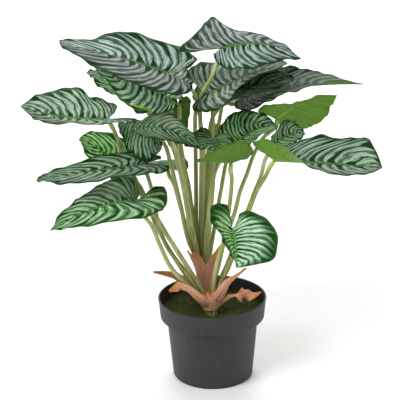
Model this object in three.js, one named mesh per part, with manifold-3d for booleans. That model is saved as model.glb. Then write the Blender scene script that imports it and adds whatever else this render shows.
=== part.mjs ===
// Potted peacock plant: patterned heart-shaped leaves on long stalks, in a dark nursery pot.
// Millimetres and degrees. +Z is up, the origin is the centre of the pot's underside,
// and -Y is the side that is seen first.

import * as THREE from 'three';
import { mergeVertices } from 'three/addons/utils/BufferGeometryUtils.js';
import Module from 'manifold-3d';

const wasm = await Module();
wasm.setup();

// Driving dimensions of the pot
const POT_HEIGHT = 116;
const RIM_RADIUS = 75;
const RIM_LIP = 2.6;
const COLLAR_HEIGHT = 28;
const COLLAR_FOOT_RADIUS = 72;
const NECK_RADIUS = 63.2;
const FOOT_RADIUS = 55.5;
const FOOT_BEVEL = 2;
const WALL = 2;
const FLOOR = 3;
const STEP_DEPTH = 4;
const DRAIN_HOLES = 5;
const DRAIN_RADIUS = 5;
const DRAIN_CIRCLE_RADIUS = 34;
const POT_SIDES = 32;
const DRAIN_SIDES = 12;
const COLLAR_STEP = 1;
const RIM_TAPER = 0.8;
const RIM_TAPER_DEPTH = 3;
const RIM_ROUND = 1;
const RIM_ROUND_INSET = 0.6;

// What fills the pot
const SOIL_TOP = 94;
const MOSS_THICKNESS = 4.2;
const MOSS_RELIEF = 1.4;
const MOSS_RINGS = 5;
const MOSS_EDGE_DROP = 2;
const MOSS_EDGE_INSET = 1.5;
const FILL_SIDES = 28;
const HOLE_SIDES = 20;

// Space kept between neighbouring pieces, and round the faceted stalks
const GAP = 0.35;
const STALK_GAP = 0.45;

// Detail smaller than this is dropped after a cut
const SLIVER = 0.05;

// Blades: thickness, the rib below, and the rows and columns of each half
const BLADE_THICKNESS = 1;
const RIB_DEPTH = 1.1;
const RIB_TAPER = 0.8;
const BLADE_ROWS = 12;
const HALF_COLUMNS = 3;
const VEIN_SWEEP = 2.5;
const LOBE_SWEEP = 1.35;
const ARC_STEPS = 8;
const WAVE_HEIGHT = 2;
const WAVE_COUNT = 2.5;
const WAVE_FADE = 6;
const LIP_START = 0.7;
const LIFT_CURVE = 1.3;

// Stalks
const STALK_SIDES = 5;
const STALK_RADIUS = 2.9;
const STALK_STEP = 30;
const STALK_ROOT_SPREAD = 3;
const STALK_SEAT = 1;
const KNEE_BELOW = 9;
const KNEE_BEHIND = 4;
const STUB_SIDES = 14;

// Sheaths
const SHEATH_THICKNESS = 0.9;
const SHEATH_ROWS = 8;
const SHEATH_COLUMNS = 4;

// The two shoots: where each stands, its thickness, and the heights of its root end,
// of the point where its stalks part, and of its top
const SHOOTS = {
  front: { x: -2, y: -20, radius: 8.2, root: 78, fork: 103, top: 110, stems: 'front_stems' },
  rear: { x: -8, y: 34, radius: 8.6, root: 78, fork: 108, top: 120, stems: 'rear_stems' },
};

// Half a blade's usual edge, as [share of the midrib, share of the half width], from the
// stalk round the lobe to the tip
const USUAL_EDGE = [
  [0, 0], [-0.1, 0.1], [-0.2, 0.45], [-0.1, 0.85], [0.12, 1],
  [0.36, 1], [0.62, 0.87], [0.83, 0.58], [0.95, 0.24], [1, 0],
];

// Blades. base is where the stalk meets the blade, tip its far end. Pairs give the left
// half and the right half, seen from above with the tip ahead. fold is how far a half
// is raised at the stalk, and foldTip at the tip. lobe stretches the usual lobe behind the
// stalk, lift raises it, and lip turns the edge over. edge is a half's own edge, as
// [along the midrib, out from it], in place of the usual one.
const BLADES = [
  { name: 'leaf_01', base: [-52, -10, 437], tip: [-191, -25, 481], arch: 3, halfWidth: [52, 57],
    fold: [-22, 58], foldTip: [-18, 2], edge: [[[0, 0], [-28, 8], [-29, 26], [-7, 43], [24, 48],
    [48, 54], [72, 48], [93, 37], [114, 24], [136, 13], [147, 6], [147, 0]], [[0, 0], [-17, 9],
    [-31, 29], [-28, 42], [-2, 50], [32, 49], [60, 54], [82, 52], [105, 35], [130, 20], [147, 15],
    [147, 0]]] },
  { name: 'leaf_02', base: [14, -5, 467], tip: [119, 30, 446], arch: 12, halfWidth: [50, 46],
    fold: [48, -32], foldTip: [4, -24], edge: [[[0, 0], [-6, 2], [-36, 8], [-52, 18], [-30, 34],
    [-10, 44], [2, 54], [13, 62], [22, 50], [46, 34], [68, 34], [90, 22], [106, 10], [113, 0]], [[0, 0],
    [-12, 6], [-13, 17], [-9, 30], [3, 44], [30, 50], [59, 37], [81, 27], [112, 8], [113, 0]]] },
  { name: 'leaf_03', base: [45, 50, 386], tip: [209, 50, 402], arch: 6, halfWidth: [56, 56],
    fold: [38, -22], foldTip: [0, 30], edge: [[[0, 0], [-10, 2], [-10, 12], [7, 32], [31, 44], [56, 49],
    [70, 50], [79, 52], [92, 51], [108, 48], [124, 29], [146, 12], [165, 0]], [[0, 0], [-10, 9],
    [-13, 20], [-6, 37], [14, 52], [33, 58], [50, 56], [68, 50], [88, 40], [108, 28], [135, 12],
    [165, 0]]] },
  { name: 'leaf_04', base: [-4, 5, 403], tip: [106, 60, 429], arch: 4, halfWidth: [54, 46],
    fold: [32, -14], foldTip: [0, 0], edge: [[[0, 0], [-3, 16], [-3, 34], [0, 52], [14, 62], [28, 62],
    [42, 56], [68, 56], [98, 50], [117, 36], [126, 18], [126, 0]], [[0, 0], [-8, 1], [-20, 3], [-28, 8],
    [-29, 18], [-20, 34], [-8, 46], [7, 46], [26, 28], [39, 18], [61, 11], [80, 11], [102, 9],
    [126, 0]]] },
  { name: 'leaf_05', base: [4, 32, 387], tip: [115, 48, 410], arch: 6, halfWidth: [44, 34],
    fold: [32, -4], foldTip: [26, 0], lobe: [1, 0.8] },
  { name: 'leaf_06', base: [-56, 15, 398], tip: [-155, 5, 448], arch: 4, halfWidth: [48, 46],
    fold: [-46, 20], foldTip: [-42, 10], lobe: [0.8, 1.1], lip: [110, 0], edge: [[[0, 0], [-10, 2],
    [-18, 4], [-12, 14], [1, 32], [14, 45], [30, 49], [53, 42], [71, 31], [91, 18], [112, 0]], null] },
  { name: 'leaf_07', base: [-82, 85, 366], tip: [-167, 65, 419], arch: 6, halfWidth: [36, 40],
    fold: [-24, 10], foldTip: [-16, 10], edge: [[[0, 0], [-1, 16], [15, 35], [37, 37], [60, 37],
    [74, 29], [89, 20], [95, 10], [102, 0]], null] },
  { name: 'leaf_08', base: [-134, -10, 376], tip: [-245, -40, 404], arch: -6, halfWidth: [42, 48],
    fold: [6, 42], foldTip: [-25, 26], edge: [[[0, 0], [-12, 1], [-30, 3], [-41, 8], [-30, 14],
    [-10, 18], [22, 18], [52, 14], [80, 20], [96, 22], [107, 14], [118, 0]], [[0, 0], [-7, 6],
    [-15, 19], [-5, 31], [8, 38], [21, 38], [32, 53], [50, 56], [76, 46], [97, 30], [109, 13],
    [118, 0]]] },
  { name: 'leaf_09', base: [-109, 77, 270], tip: [-180, 60, 327], roll: -20, arch: 4,
    halfWidth: [48, 46], fold: [-5, 12] },
  { name: 'leaf_10', base: [-91, -10, 312], tip: [-229, -50, 305], arch: 2, halfWidth: [42, 25],
    fold: [0, 30], foldTip: [0, 22], lobe: [1.1, 1] },
  { name: 'leaf_11', base: [-99, -30, 270], tip: [-207, -110, 258], arch: 12, sway: 8,
    halfWidth: [60, 60], fold: [-6, 14], foldTip: [-2, 0], lift: [24, 14], edge: [[[0, 0], [-12, 3],
    [-26, 4], [-33, 15], [-22, 34], [0, 47], [34, 62], [66, 49], [94, 31], [112, 22], [126, 9],
    [135, 0]], [[0, 0], [-13, 7], [-23, 21], [-29, 40], [-24, 56], [0, 60], [27, 51], [58, 46],
    [78, 40], [107, 26], [123, 11], [135, 0]]] },
  { name: 'leaf_12', base: [-108, 20, 365], tip: [-67, -18, 333], arch: 10, halfWidth: [28, 52],
    fold: [24, -52], foldTip: [10, -50], edge: [[[0, 0], [6, 6], [27, 10], [46, 10], [58, 7], [65, 0]],
    [[0, 0], [-8, 2], [-16, 9], [-11, 15], [1, 25], [22, 38], [42, 36], [63, 30], [70, 20], [68, 9],
    [65, 0]]] },
  { name: 'leaf_13', base: [-99, -52, 375], tip: [-12, -86, 361], arch: 10, halfWidth: [37, 40],
    fold: [10, -10], foldTip: [10, -10], edge: [[[0, 0], [-4, 8], [-8, 20], [-4, 32], [10, 38],
    [24, 40], [36, 44], [50, 34], [66, 20], [82, 8], [94, 0]], [[0, 0], [2, 10], [12, 18], [23, 23],
    [35, 27], [49, 29], [60, 25], [70, 17], [80, 15], [89, 11], [94, 0]]] },
  { name: 'leaf_14', base: [3, 1, 344], tip: [14, -63, 340], arch: 4, halfWidth: [36, 46],
    fold: [14, 0], lift: [4, 14], edge: [[[0, 0], [-1, 4], [-9, 11], [-2, 19], [20, 22], [40, 21],
    [55, 14], [63, 6], [65, 0]], [[0, 0], [-10, 2], [-17, 9], [-14, 21], [-2, 33], [17, 43], [28, 40],
    [40, 28], [53, 12], [65, 0]]] },
  { name: 'leaf_15', base: [35, 30, 326], tip: [91, 70, 337], arch: 8, halfWidth: [44, 28],
    fold: [30, 10], edge: [[[0, 0], [-5, 6], [-10, 16], [-9, 28], [4, 36], [14, 38], [26, 39], [37, 39],
    [50, 37], [61, 32], [67, 21], [71, 10], [70, 0]], [[0, 0], [-4, 14], [1, 22], [8, 30], [20, 32],
    [34, 30], [55, 20], [66, 8], [70, 0]]] },
  { name: 'leaf_16', base: [81, -8, 335], tip: [130, 40, 337], arch: 6, halfWidth: [28, 32],
    fold: [40, -30], foldTip: [30, -20], edge: [[[0, 0], [4, 6], [14, 12], [26, 16], [36, 19], [46, 24],
    [58, 28], [65, 22], [66, 9], [68, 0]], [[0, 0], [3, 8], [12, 12], [23, 16], [45, 12], [56, 8],
    [68, 0]]] },
  { name: 'leaf_17', base: [27, -55, 328], tip: [-14, -90, 343], halfWidth: [38, 34], fold: [62, -10],
    foldTip: [50, -10], lobe: [2.3, 1] },
  { name: 'leaf_18', base: [92, 106, 338], tip: [179, 118, 368], arch: 8, halfWidth: [46, 24],
    fold: [-78, 75], foldTip: [-78, 50], edge: [[[0, 0], [-1, 7], [2, 16], [9, 25], [30, 39], [40, 42],
    [51, 44], [60, 41], [74, 33], [81, 26], [84, 19], [89, 12], [93, 0]], [[0, 0], [-3, 8], [-8, 22],
    [-13, 34], [-7, 36], [3, 32], [11, 22], [26, 14], [39, 8], [55, 4], [74, 3], [93, 0]]] },
  { name: 'leaf_19', base: [81, -50, 329], tip: [219, -75, 325], halfWidth: [50, 50], fold: [26, 125],
    foldTip: [38, -58], edge: [[[0, 0], [-5, 8], [-3, 17], [12, 28], [31, 40], [56, 47], [76, 43],
    [97, 47], [115, 50], [124, 38], [134, 18], [141, 0]], [[0, 0], [-14, 8], [-27, 18], [-26, 28],
    [-14, 38], [0, 48], [22, 52], [44, 48], [66, 34], [88, 22], [110, 18], [128, 9], [141, 0]]] },
  { name: 'leaf_20', base: [27, -75, 244], tip: [31, -110, 203], arch: 4, halfWidth: [56, 32],
    fold: [0, 20], foldTip: [0, -100], lift: [6, 14], edge: [[[0, 0], [-10, 7], [-22, 14], [-23, 29],
    [-8, 48], [12, 57], [32, 55], [46, 48], [51, 26], [54, 0]], [[0, 0], [-14, 1], [-32, 5], [-36, 25],
    [-22, 31], [-4, 23], [14, 20], [32, 16], [46, 9], [54, 0]]] },
  { name: 'leaf_21', base: [-44, 95, 366], tip: [-49, 115, 289], arch: 8, halfWidth: [20, 20] },
  { name: 'leaf_22', base: [18, 100, 371], tip: [63, 200, 364], arch: 8, halfWidth: [46, 44],
    fold: [6, 6] },
  { name: 'leaf_23', base: [-59, 80, 398], tip: [-110, 170, 392], arch: 8, halfWidth: [44, 44],
    fold: [6, 6] },
  { name: 'leaf_24', base: [34, 108, 315], tip: [57, 195, 298], arch: 6, halfWidth: [38, 38],
    fold: [4, 4] },
  { name: 'leaf_25', base: [-60, 118, 264], tip: [-83, 200, 244], arch: 6, halfWidth: [32, 32],
    fold: [4, 4] },
];

// Stalks: the blade each one carries, its shoot, and the points it passes through
const STALKS = [
  { blade: 'leaf_01', shoot: 'rear', below: 5, behind: 6, via: [[-16, 36, 146], [-20, 38, 200],
    [-20, 40, 260], [-20, 38, 320], [-20, 18, 368], [-18, 2, 400], [-30, -8, 420]] },
  { blade: 'leaf_02', shoot: 'rear', via: [[-12, 34, 147], [-14, 38, 200], [-13, 40, 260],
    [-12, 36, 320], [-13, 20, 365], [-12, 6, 400], [1, -7, 428]] },
  { blade: 'leaf_03', shoot: 'rear', via: [[-9, 38, 148], [-7, 44, 190], [-4, 54, 250], [-2, 68, 310],
    [4, 76, 350], [22, 64, 374]] },
  { blade: 'leaf_04', shoot: 'rear', via: [[-12, 36, 152], [-12, 38, 200], [-9, 40, 260], [-9, 37, 320],
    [-13, 19, 365], [-13, 8, 385]] },
  { blade: 'leaf_05', shoot: 'rear', via: [[-11, 38, 151], [-9, 40, 184], [-4, 42, 242], [1, 40, 301],
    [4, 36, 348]] },
  { blade: 'leaf_06', shoot: 'rear', via: [[-18, 38, 142], [-25, 38, 211], [-30, 36, 264],
    [-35, 34, 290], [-41, 29, 332], [-50, 22, 369]] },
  { blade: 'leaf_07', shoot: 'rear', via: [[-16, 40, 144], [-27, 46, 181], [-33, 54, 223],
    [-42, 66, 274], [-53, 78, 311], [-69, 84, 343]] },
  { blade: 'leaf_08', shoot: 'front', via: [[-13, -25, 133], [-21, -24, 148], [-38, -26, 179],
    [-57, -32, 215], [-73, -30, 244], [-92, -19, 271], [-101, -9, 292], [-113, 12, 302],
    [-118, 13, 319], [-124, 4, 345]] },
  { blade: 'leaf_09', shoot: 'front', via: [[-15, -20, 127], [-27, -14, 141], [-46, 2, 164],
    [-65, 24, 189], [-80, 46, 212], [-90, 64, 235], [-101, 74, 256]] },
  { blade: 'leaf_10', shoot: 'front', via: [[-17, -22, 127], [-28, -22, 150], [-44, -20, 172],
    [-62, -12, 198], [-72, -2, 225], [-79, 6, 266]] },
  { blade: 'leaf_11', shoot: 'front', below: 9, behind: 0, via: [[-18, -27, 124], [-30, -29, 141],
    [-55, -32, 172], [-69, -34, 205], [-81, -32, 235]] },
  { blade: 'leaf_12', shoot: 'rear', via: [[-16, 32, 145], [-32, 30, 188], [-41, 26, 238],
    [-48, 23, 274], [-55, 20, 308], [-62, 18, 332], [-83, 19, 353]] },
  { blade: 'leaf_13', shoot: 'rear', below: 7, behind: -9, via: [[-16, 34, 147], [-28, 16, 220],
    [-34, 2, 267], [-40, -8, 299], [-48, -22, 341], [-62, -34, 360], [-81, -44, 369]] },
  { blade: 'leaf_14', shoot: 'rear', below: 8, behind: -4, via: [[-11, 34, 141], [-9, 32, 172],
    [-4, 28, 225], [2, 24, 277], [5, 22, 314]] },
  { blade: 'leaf_15', shoot: 'rear', via: [[-9, 38, 142], [-5, 37, 185], [0, 34, 245], [7, 30, 290],
    [20, 29, 310]] },
  { blade: 'leaf_16', shoot: 'front', below: 8, behind: -8, via: [[5, -16, 132], [19, -10, 162],
    [36, -8, 208], [49, -8, 244], [59, -8, 272], [67, -8, 293], [74, -6, 319]] },
  { blade: 'leaf_17', shoot: 'front', behind: 0, via: [[2, -20, 141], [10, -24, 177], [18, -30, 218],
    [24, -38, 263], [27, -48, 303]] },
  { blade: 'leaf_18', shoot: 'front', via: [[1, -18, 140], [16, 8, 188], [33, 30, 229], [40, 42, 252],
    [51, 58, 275], [59, 72, 293], [74, 90, 315]] },
  { blade: 'leaf_19', shoot: 'front', via: [[8, -20, 135], [23, -22, 170], [38, -28, 215],
    [49, -32, 250], [60, -38, 283], [72, -45, 307]] },
  { blade: 'leaf_20', shoot: 'front', below: 6, behind: -3, via: [[4, -24, 158], [14, -34, 204],
    [22, -62, 232]] },
  { blade: 'leaf_21', shoot: 'rear', via: [[-15, 42, 144], [-26, 50, 180], [-32, 66, 234],
    [-37, 80, 276], [-42, 90, 314]] },
  { blade: 'leaf_22', shoot: 'rear', via: [[-6, 44, 150], [-2, 54, 200], [4, 68, 260], [10, 84, 320]] },
  { blade: 'leaf_23', shoot: 'rear', via: [[-14, 44, 150], [-22, 52, 200], [-34, 60, 270],
    [-48, 70, 340]] },
  { blade: 'leaf_24', shoot: 'rear', via: [[-4, 44, 146], [4, 58, 190], [14, 76, 240], [24, 94, 285]] },
  { blade: 'leaf_25', shoot: 'rear', via: [[-16, 42, 140], [-28, 54, 175], [-42, 80, 215],
    [-52, 104, 245]] },
];

// Papery sheaths round the shoots: path from the shoot to the tip, half width and cup
// (half the angle it wraps through) at the foot, the middle and the tip
const SHEATHS = [
  { name: 'sheath_front_left', shoot: 'front', width: [16, 14, 2], cup: [80, 45, 10],
    path: [[-13, -30, 113], [-24, -36, 129], [-34, -38, 141], [-46, -38, 146], [-59, -38, 141]] },
  { name: 'sheath_front_middle', shoot: 'front', width: [12, 14, 7], cup: [50, 40, 20],
    path: [[-1, -32, 108], [-2, -35, 122], [-6, -38, 140]] },
  { name: 'sheath_front_right', shoot: 'front', width: [16, 14, 1], cup: [70, 50, 10],
    path: [[2, -29, 112], [13, -34, 131], [21, -36, 148], [31, -36, 159], [46, -36, 172]] },
  { name: 'sheath_front_low', shoot: 'front', width: [6, 17, 1], cup: [30, -20, -20],
    path: [[6, -21, 107], [23, -23, 124], [38, -24, 128], [52, -28, 128], [66, -34, 136]] },
  { name: 'sheath_front_back', shoot: 'front', width: [10, 10, 1], cup: [60, 40, 10],
    path: [[-11, -13, 106], [-26, -7, 128], [-42, -5, 142], [-58, -5, 151], [-81, -6, 156]] },
  { name: 'sheath_rear_left', shoot: 'rear', width: [12, 12, 12], cup: [80, 60, 30],
    path: [[-10, 24, 106], [-15, 20, 138], [-22, 16, 160], [-30, 13, 180]] },
  { name: 'sheath_rear_right', shoot: 'rear', width: [14, 14, 1], cup: [80, 60, 10],
    path: [[-2, 25, 106], [-1, 20, 140], [5, 17, 164], [17, 16, 192]] },
];

const material = (color, roughness) => new THREE.MeshStandardMaterial({ color, roughness, metalness: 0 });
const POT_PLASTIC = material('#2b2c2e', 0.6);
const SOIL = material('#2e2119', 0.95);
const MOSS = material('#33441d', 0.95);
const BLADE = material('#5f8468', 0.5);
const STALK = material('#9aa35a', 0.55);
const SHEATH = material('#c07f5e', 0.7);

const radians = THREE.MathUtils.degToRad;
const lerp = THREE.MathUtils.lerp;

const plant = new THREE.Group();

function addPiece(name, geometry, finish) {
  geometry.computeVertexNormals();
  const mesh = new THREE.Mesh(geometry, finish);
  mesh.name = name;
  plant.add(mesh);
}

// A closed surface as a solid that can be cut and joined
function toSolid(geometry) {
  const bare = geometry.index ? geometry.clone() : geometry;
  bare.deleteAttribute('normal');
  bare.deleteAttribute('uv');
  const merged = mergeVertices(bare);
  return new wasm.Manifold(new wasm.Mesh({
    numProp: 3,
    vertProperties: new Float32Array(merged.attributes.position.array),
    triVerts: new Uint32Array(merged.index.array),
  }));
}

function fromSolid(solid) {
  const mesh = solid.getMesh();
  const geometry = new THREE.BufferGeometry();
  geometry.setAttribute('position', new THREE.BufferAttribute(mesh.vertProperties, 3));
  geometry.setIndex(new THREE.BufferAttribute(mesh.triVerts, 1));
  return geometry;
}

// The main piece of a cut solid, without the slivers and scraps that cutting leaves
function mainPiece(solid) {
  const pieces = solid.simplify(SLIVER).decompose();
  return pieces.reduce((best, piece) => (piece.volume() > best.volume() ? piece : best));
}

// A profile of [radius, height] turned about the Z axis
function turned(profile, sides) {
  const points = profile.map(([radius, height]) => new THREE.Vector2(radius, height));
  return new THREE.LatheGeometry(points, sides).rotateX(Math.PI / 2);
}

function upright(x, y, radius, bottom, top, sides) {
  const profile = [[0, bottom], [radius, bottom], [radius, top], [0, top]];
  return turned(profile, sides).translate(x, y, 0);
}

function makePot() {
  const collarFoot = POT_HEIGHT - COLLAR_HEIGHT;
  const profile = [
    [0, 0],
    [FOOT_RADIUS - FOOT_BEVEL, 0],
    [FOOT_RADIUS, FOOT_BEVEL],
    [NECK_RADIUS, collarFoot - COLLAR_STEP],
    [COLLAR_FOOT_RADIUS, collarFoot],
    [RIM_RADIUS - RIM_TAPER, POT_HEIGHT - RIM_TAPER_DEPTH],
    [RIM_RADIUS, POT_HEIGHT - RIM_ROUND],
    [RIM_RADIUS - RIM_ROUND_INSET, POT_HEIGHT],
    [RIM_RADIUS - RIM_LIP, POT_HEIGHT],
    [COLLAR_FOOT_RADIUS - WALL, collarFoot + STEP_DEPTH],
    [NECK_RADIUS - WALL, collarFoot - COLLAR_STEP],
    [FOOT_RADIUS - WALL, FLOOR],
    [0, FLOOR],
  ];
  let pot = toSolid(turned(profile, POT_SIDES));
  for (let i = 0; i < DRAIN_HOLES; i += 1) {
    const angle = ((i + 0.5) / DRAIN_HOLES) * 2 * Math.PI;
    const x = DRAIN_CIRCLE_RADIUS * Math.cos(angle);
    const y = DRAIN_CIRCLE_RADIUS * Math.sin(angle);
    const drain = upright(x, y, DRAIN_RADIUS, -FLOOR, 2 * FLOOR, DRAIN_SIDES);
    pot = pot.subtract(toSolid(drain));
  }
  addPiece('pot', fromSolid(pot), POT_PLASTIC);
}

// Plain holes that the shoots stand in
function withStemHoles(solid) {
  return Object.values(SHOOTS).reduce((left, shoot) => {
    const { x, y, radius, root } = shoot;
    const hole = upright(x, y, radius + GAP, root - GAP, POT_HEIGHT, HOLE_SIDES);
    return left.subtract(toSolid(hole));
  }, solid);
}

function makeSoil() {
  const collarFoot = POT_HEIGHT - COLLAR_HEIGHT;
  const profile = [
    [0, FLOOR + GAP],
    [FOOT_RADIUS - WALL - GAP, FLOOR + GAP],
    [NECK_RADIUS - WALL - GAP, collarFoot - COLLAR_STEP],
    [COLLAR_FOOT_RADIUS - WALL - GAP, collarFoot + STEP_DEPTH + GAP],
    [COLLAR_FOOT_RADIUS - WALL - GAP, SOIL_TOP],
    [0, SOIL_TOP],
  ];
  addPiece('soil', fromSolid(withStemHoles(toSolid(turned(profile, FILL_SIDES)))), SOIL);
}

// Height of the moss above its level at a point: low uneven cushions
function mossRelief(x, y) {
  const broad = Math.sin(x * 0.11 + 1.3) * Math.cos(y * 0.13 - 0.6);
  const fine = Math.sin(x * 0.31 - y * 0.17) * Math.cos(y * 0.29 + x * 0.12 + 0.8);
  return MOSS_RELIEF * (broad + 0.6 * fine);
}

function makeMoss() {
  const radius = COLLAR_FOOT_RADIUS - WALL - GAP;
  const underside = SOIL_TOP + GAP;
  const surface = underside + MOSS_THICKNESS;
  const profile = [[0, underside], [radius, underside], [radius, surface - MOSS_EDGE_DROP]];
  for (let ring = MOSS_RINGS; ring > 0; ring -= 1) {
    profile.push([(radius - MOSS_EDGE_INSET) * (ring / MOSS_RINGS), surface]);
  }
  profile.push([0, surface]);
  const geometry = turned(profile, FILL_SIDES);
  const points = geometry.attributes.position;
  for (let i = 0; i < points.count; i += 1) {
    if (points.getZ(i) > surface - MOSS_EDGE_DROP / 2) {
      points.setZ(i, surface + mossRelief(points.getX(i), points.getY(i)));
    }
  }
  addPiece('moss', fromSolid(withStemHoles(toSolid(geometry))), MOSS);
}

// Half a blade's edge as a curve in millimetres: its own one, or else the usual one
function edgeCurve(blade, side, length) {
  const { halfWidth, lobe = [1, 1] } = blade;
  const usual = USUAL_EDGE.map(([share, out]) => (
    [share * length * (share < 0 ? lobe[side] : 1), out * halfWidth[side]]
  ));
  const points = blade.edge?.[side] ?? usual;
  return new THREE.SplineCurve(points.map((p) => new THREE.Vector2(...p)));
}

// A blade as a smooth surface: point(row, across) with row 0 at the stalk and 1 at the
// tip, and across -1 at the right edge, 0 on the midrib and 1 at the left edge
function bladeSurface(blade) {
  const { arch = 0, sway = 0, roll = 0, halfWidth } = blade;
  const { fold = [0, 0], lip = [0, 0], lift = [0, 0] } = blade;
  const foldTip = blade.foldTip ?? fold;
  const base = new THREE.Vector3(...blade.base);
  const axis = new THREE.Vector3(...blade.tip).sub(base);
  const length = axis.length();
  axis.normalize();
  const up = new THREE.Vector3(0, 0, 1).addScaledVector(axis, -axis.z).normalize();
  const left = new THREE.Vector3().crossVectors(up, axis);
  up.applyAxisAngle(axis, radians(roll));
  left.applyAxisAngle(axis, radians(roll));
  const edges = [0, 1].map((side) => edgeCurve(blade, side, length));
  const lobeLengths = edges.map((edge) => Math.max(1, ...edge.points.map((p) => -p.x)));

  // The midrib's point, heading, left side and upper side at a share of its length,
  // carried on straight past both ends
  function midrib(share) {
    const u = THREE.MathUtils.clamp(share, 0, 1);
    const bow = 4 * u * (1 - u);
    const slope = 4 * (1 - 2 * u);
    const point = base.clone().addScaledVector(axis, length * u);
    point.addScaledVector(up, arch * bow).addScaledVector(left, sway * bow);
    const ahead = axis.clone().multiplyScalar(length);
    ahead.addScaledVector(up, arch * slope).addScaledVector(left, sway * slope).normalize();
    const aside = left.clone().addScaledVector(ahead, -left.dot(ahead)).normalize();
    const above = new THREE.Vector3().crossVectors(ahead, aside);
    point.addScaledVector(ahead, (share - u) * length);
    return { point, ahead, aside, above };
  }

  function point(row, across) {
    const side = across >= 0 ? 0 : 1;
    const w = Math.abs(across);
    const edge = edges[side].getPoint(row);
    const ribShare = row ** VEIN_SWEEP;
    const share = ribShare + (edge.x / length - ribShare) * w ** LOBE_SWEEP;
    const reach = edge.y * w;
    let out = 0;
    let rise = 0;
    for (let step = 0; step < ARC_STEPS; step += 1) {
      const at = ((reach / halfWidth[side]) * (step + 0.5)) / ARC_STEPS;
      const turn = lip[side] * Math.max(0, (at - LIP_START) / (1 - LIP_START));
      const angle = radians(lerp(fold[side], foldTip[side], row) + turn);
      out += (Math.cos(angle) * reach) / ARC_STEPS;
      rise += (Math.sin(angle) * reach) / ARC_STEPS;
    }
    const fade = Math.min(1, WAVE_FADE * row * (1 - row));
    const wave = WAVE_HEIGHT * Math.sin(2 * Math.PI * WAVE_COUNT * row) * w * w * fade;
    const behind = Math.max(0, (-share * length) / lobeLengths[side]);
    const raised = lift[side] * behind ** LIFT_CURVE;
    const frame = midrib(share);
    return frame.point
      .addScaledVector(frame.aside, (across >= 0 ? 1 : -1) * out)
      .addScaledVector(frame.above, rise + wave + raised);
  }
  return { point, midrib };
}

// A closed sheet round a grid of points whose first and last rows may each be one point
function sheetSolid(grid, above, below) {
  const rows = grid.length;
  const columns = grid[0].length;
  const normals = grid.map((row) => row.map(() => new THREE.Vector3()));
  const face = (a, b, c) => {
    const [p, q, r] = [a, b, c].map(([i, j]) => grid[i][j]);
    const normal = new THREE.Vector3().crossVectors(r.clone().sub(p), q.clone().sub(p));
    [a, b, c].forEach(([i, j]) => normals[i][j].add(normal));
  };
  const cells = [];
  for (let i = 0; i < rows - 1; i += 1) {
    for (let j = 0; j < columns - 1; j += 1) {
      cells.push([[i, j], [i, j + 1], [i + 1, j + 1]], [[i, j], [i + 1, j + 1], [i + 1, j]]);
    }
  }
  cells.forEach((cell) => face(...cell));
  const single = (i) => grid[i].every((p) => p.distanceTo(grid[i][0]) < 1e-6);
  const singleRows = grid.map((_, i) => (i === 0 || i === rows - 1) && single(i));
  singleRows.forEach((isSingle, i) => {
    if (isSingle) {
      const sum = normals[i].reduce((total, n) => total.add(n), new THREE.Vector3());
      normals[i].forEach((n) => n.copy(sum));
    }
  });
  normals.flat().forEach((n) => n.normalize());

  const vertices = [];
  const numbers = new Map();
  const vertex = (i, j, top) => {
    const column = singleRows[i] ? 0 : j;
    const key = `${i} ${column} ${top}`;
    if (!numbers.has(key)) {
      const shift = top ? above(i, j) : -below(i, j);
      const p = grid[i][column].clone().addScaledVector(normals[i][column], shift);
      numbers.set(key, vertices.length / 3);
      vertices.push(p.x, p.y, p.z);
    }
    return numbers.get(key);
  };
  const triangles = [];
  const triangle = (a, b, c) => {
    if (a !== b && b !== c && a !== c) {
      triangles.push(a, b, c);
    }
  };
  cells.forEach(([a, b, c]) => {
    triangle(vertex(...a, true), vertex(...c, true), vertex(...b, true));
    triangle(vertex(...a, false), vertex(...b, false), vertex(...c, false));
  });
  const wall = (a, b) => {
    const [topA, topB] = [vertex(...a, true), vertex(...b, true)];
    const [lowA, lowB] = [vertex(...a, false), vertex(...b, false)];
    triangle(topA, topB, lowB);
    triangle(topA, lowB, lowA);
  };
  for (let i = 0; i < rows - 1; i += 1) {
    wall([i + 1, 0], [i, 0]);
    wall([i, columns - 1], [i + 1, columns - 1]);
  }
  for (let j = 0; j < columns - 1; j += 1) {
    if (!singleRows[0]) {
      wall([0, j], [0, j + 1]);
    }
    if (!singleRows[rows - 1]) {
      wall([rows - 1, j + 1], [rows - 1, j]);
    }
  }
  return new wasm.Manifold(new wasm.Mesh({
    numProp: 3,
    vertProperties: new Float32Array(vertices),
    triVerts: new Uint32Array(triangles),
  }));
}

// Moves the edge of a blade's grid outwards, in the blade's own surface
function widen(grid, margin) {
  const last = grid.length - 1;
  const middle = HALF_COLUMNS;
  const columns = 2 * HALF_COLUMNS;
  const moves = [];
  for (let i = 1; i < last; i += 1) {
    [[0, 1], [columns, columns - 1]].forEach(([edge, inner]) => {
      const along = grid[i + 1][edge].clone().sub(grid[i - 1][edge]).normalize();
      const out = grid[i][edge].clone().sub(grid[i][inner]);
      moves.push([grid[i][edge], out.addScaledVector(along, -out.dot(along)).normalize()]);
    });
  }
  const behind = grid[0][middle].clone().sub(grid[1][middle]).normalize();
  const beyond = grid[last][middle].clone().sub(grid[last - 1][middle]).normalize();
  grid[0].forEach((p) => moves.push([p, behind]));
  grid[last].forEach((p) => moves.push([p, beyond]));
  moves.forEach(([p, direction]) => p.addScaledVector(direction, margin));
}

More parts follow.
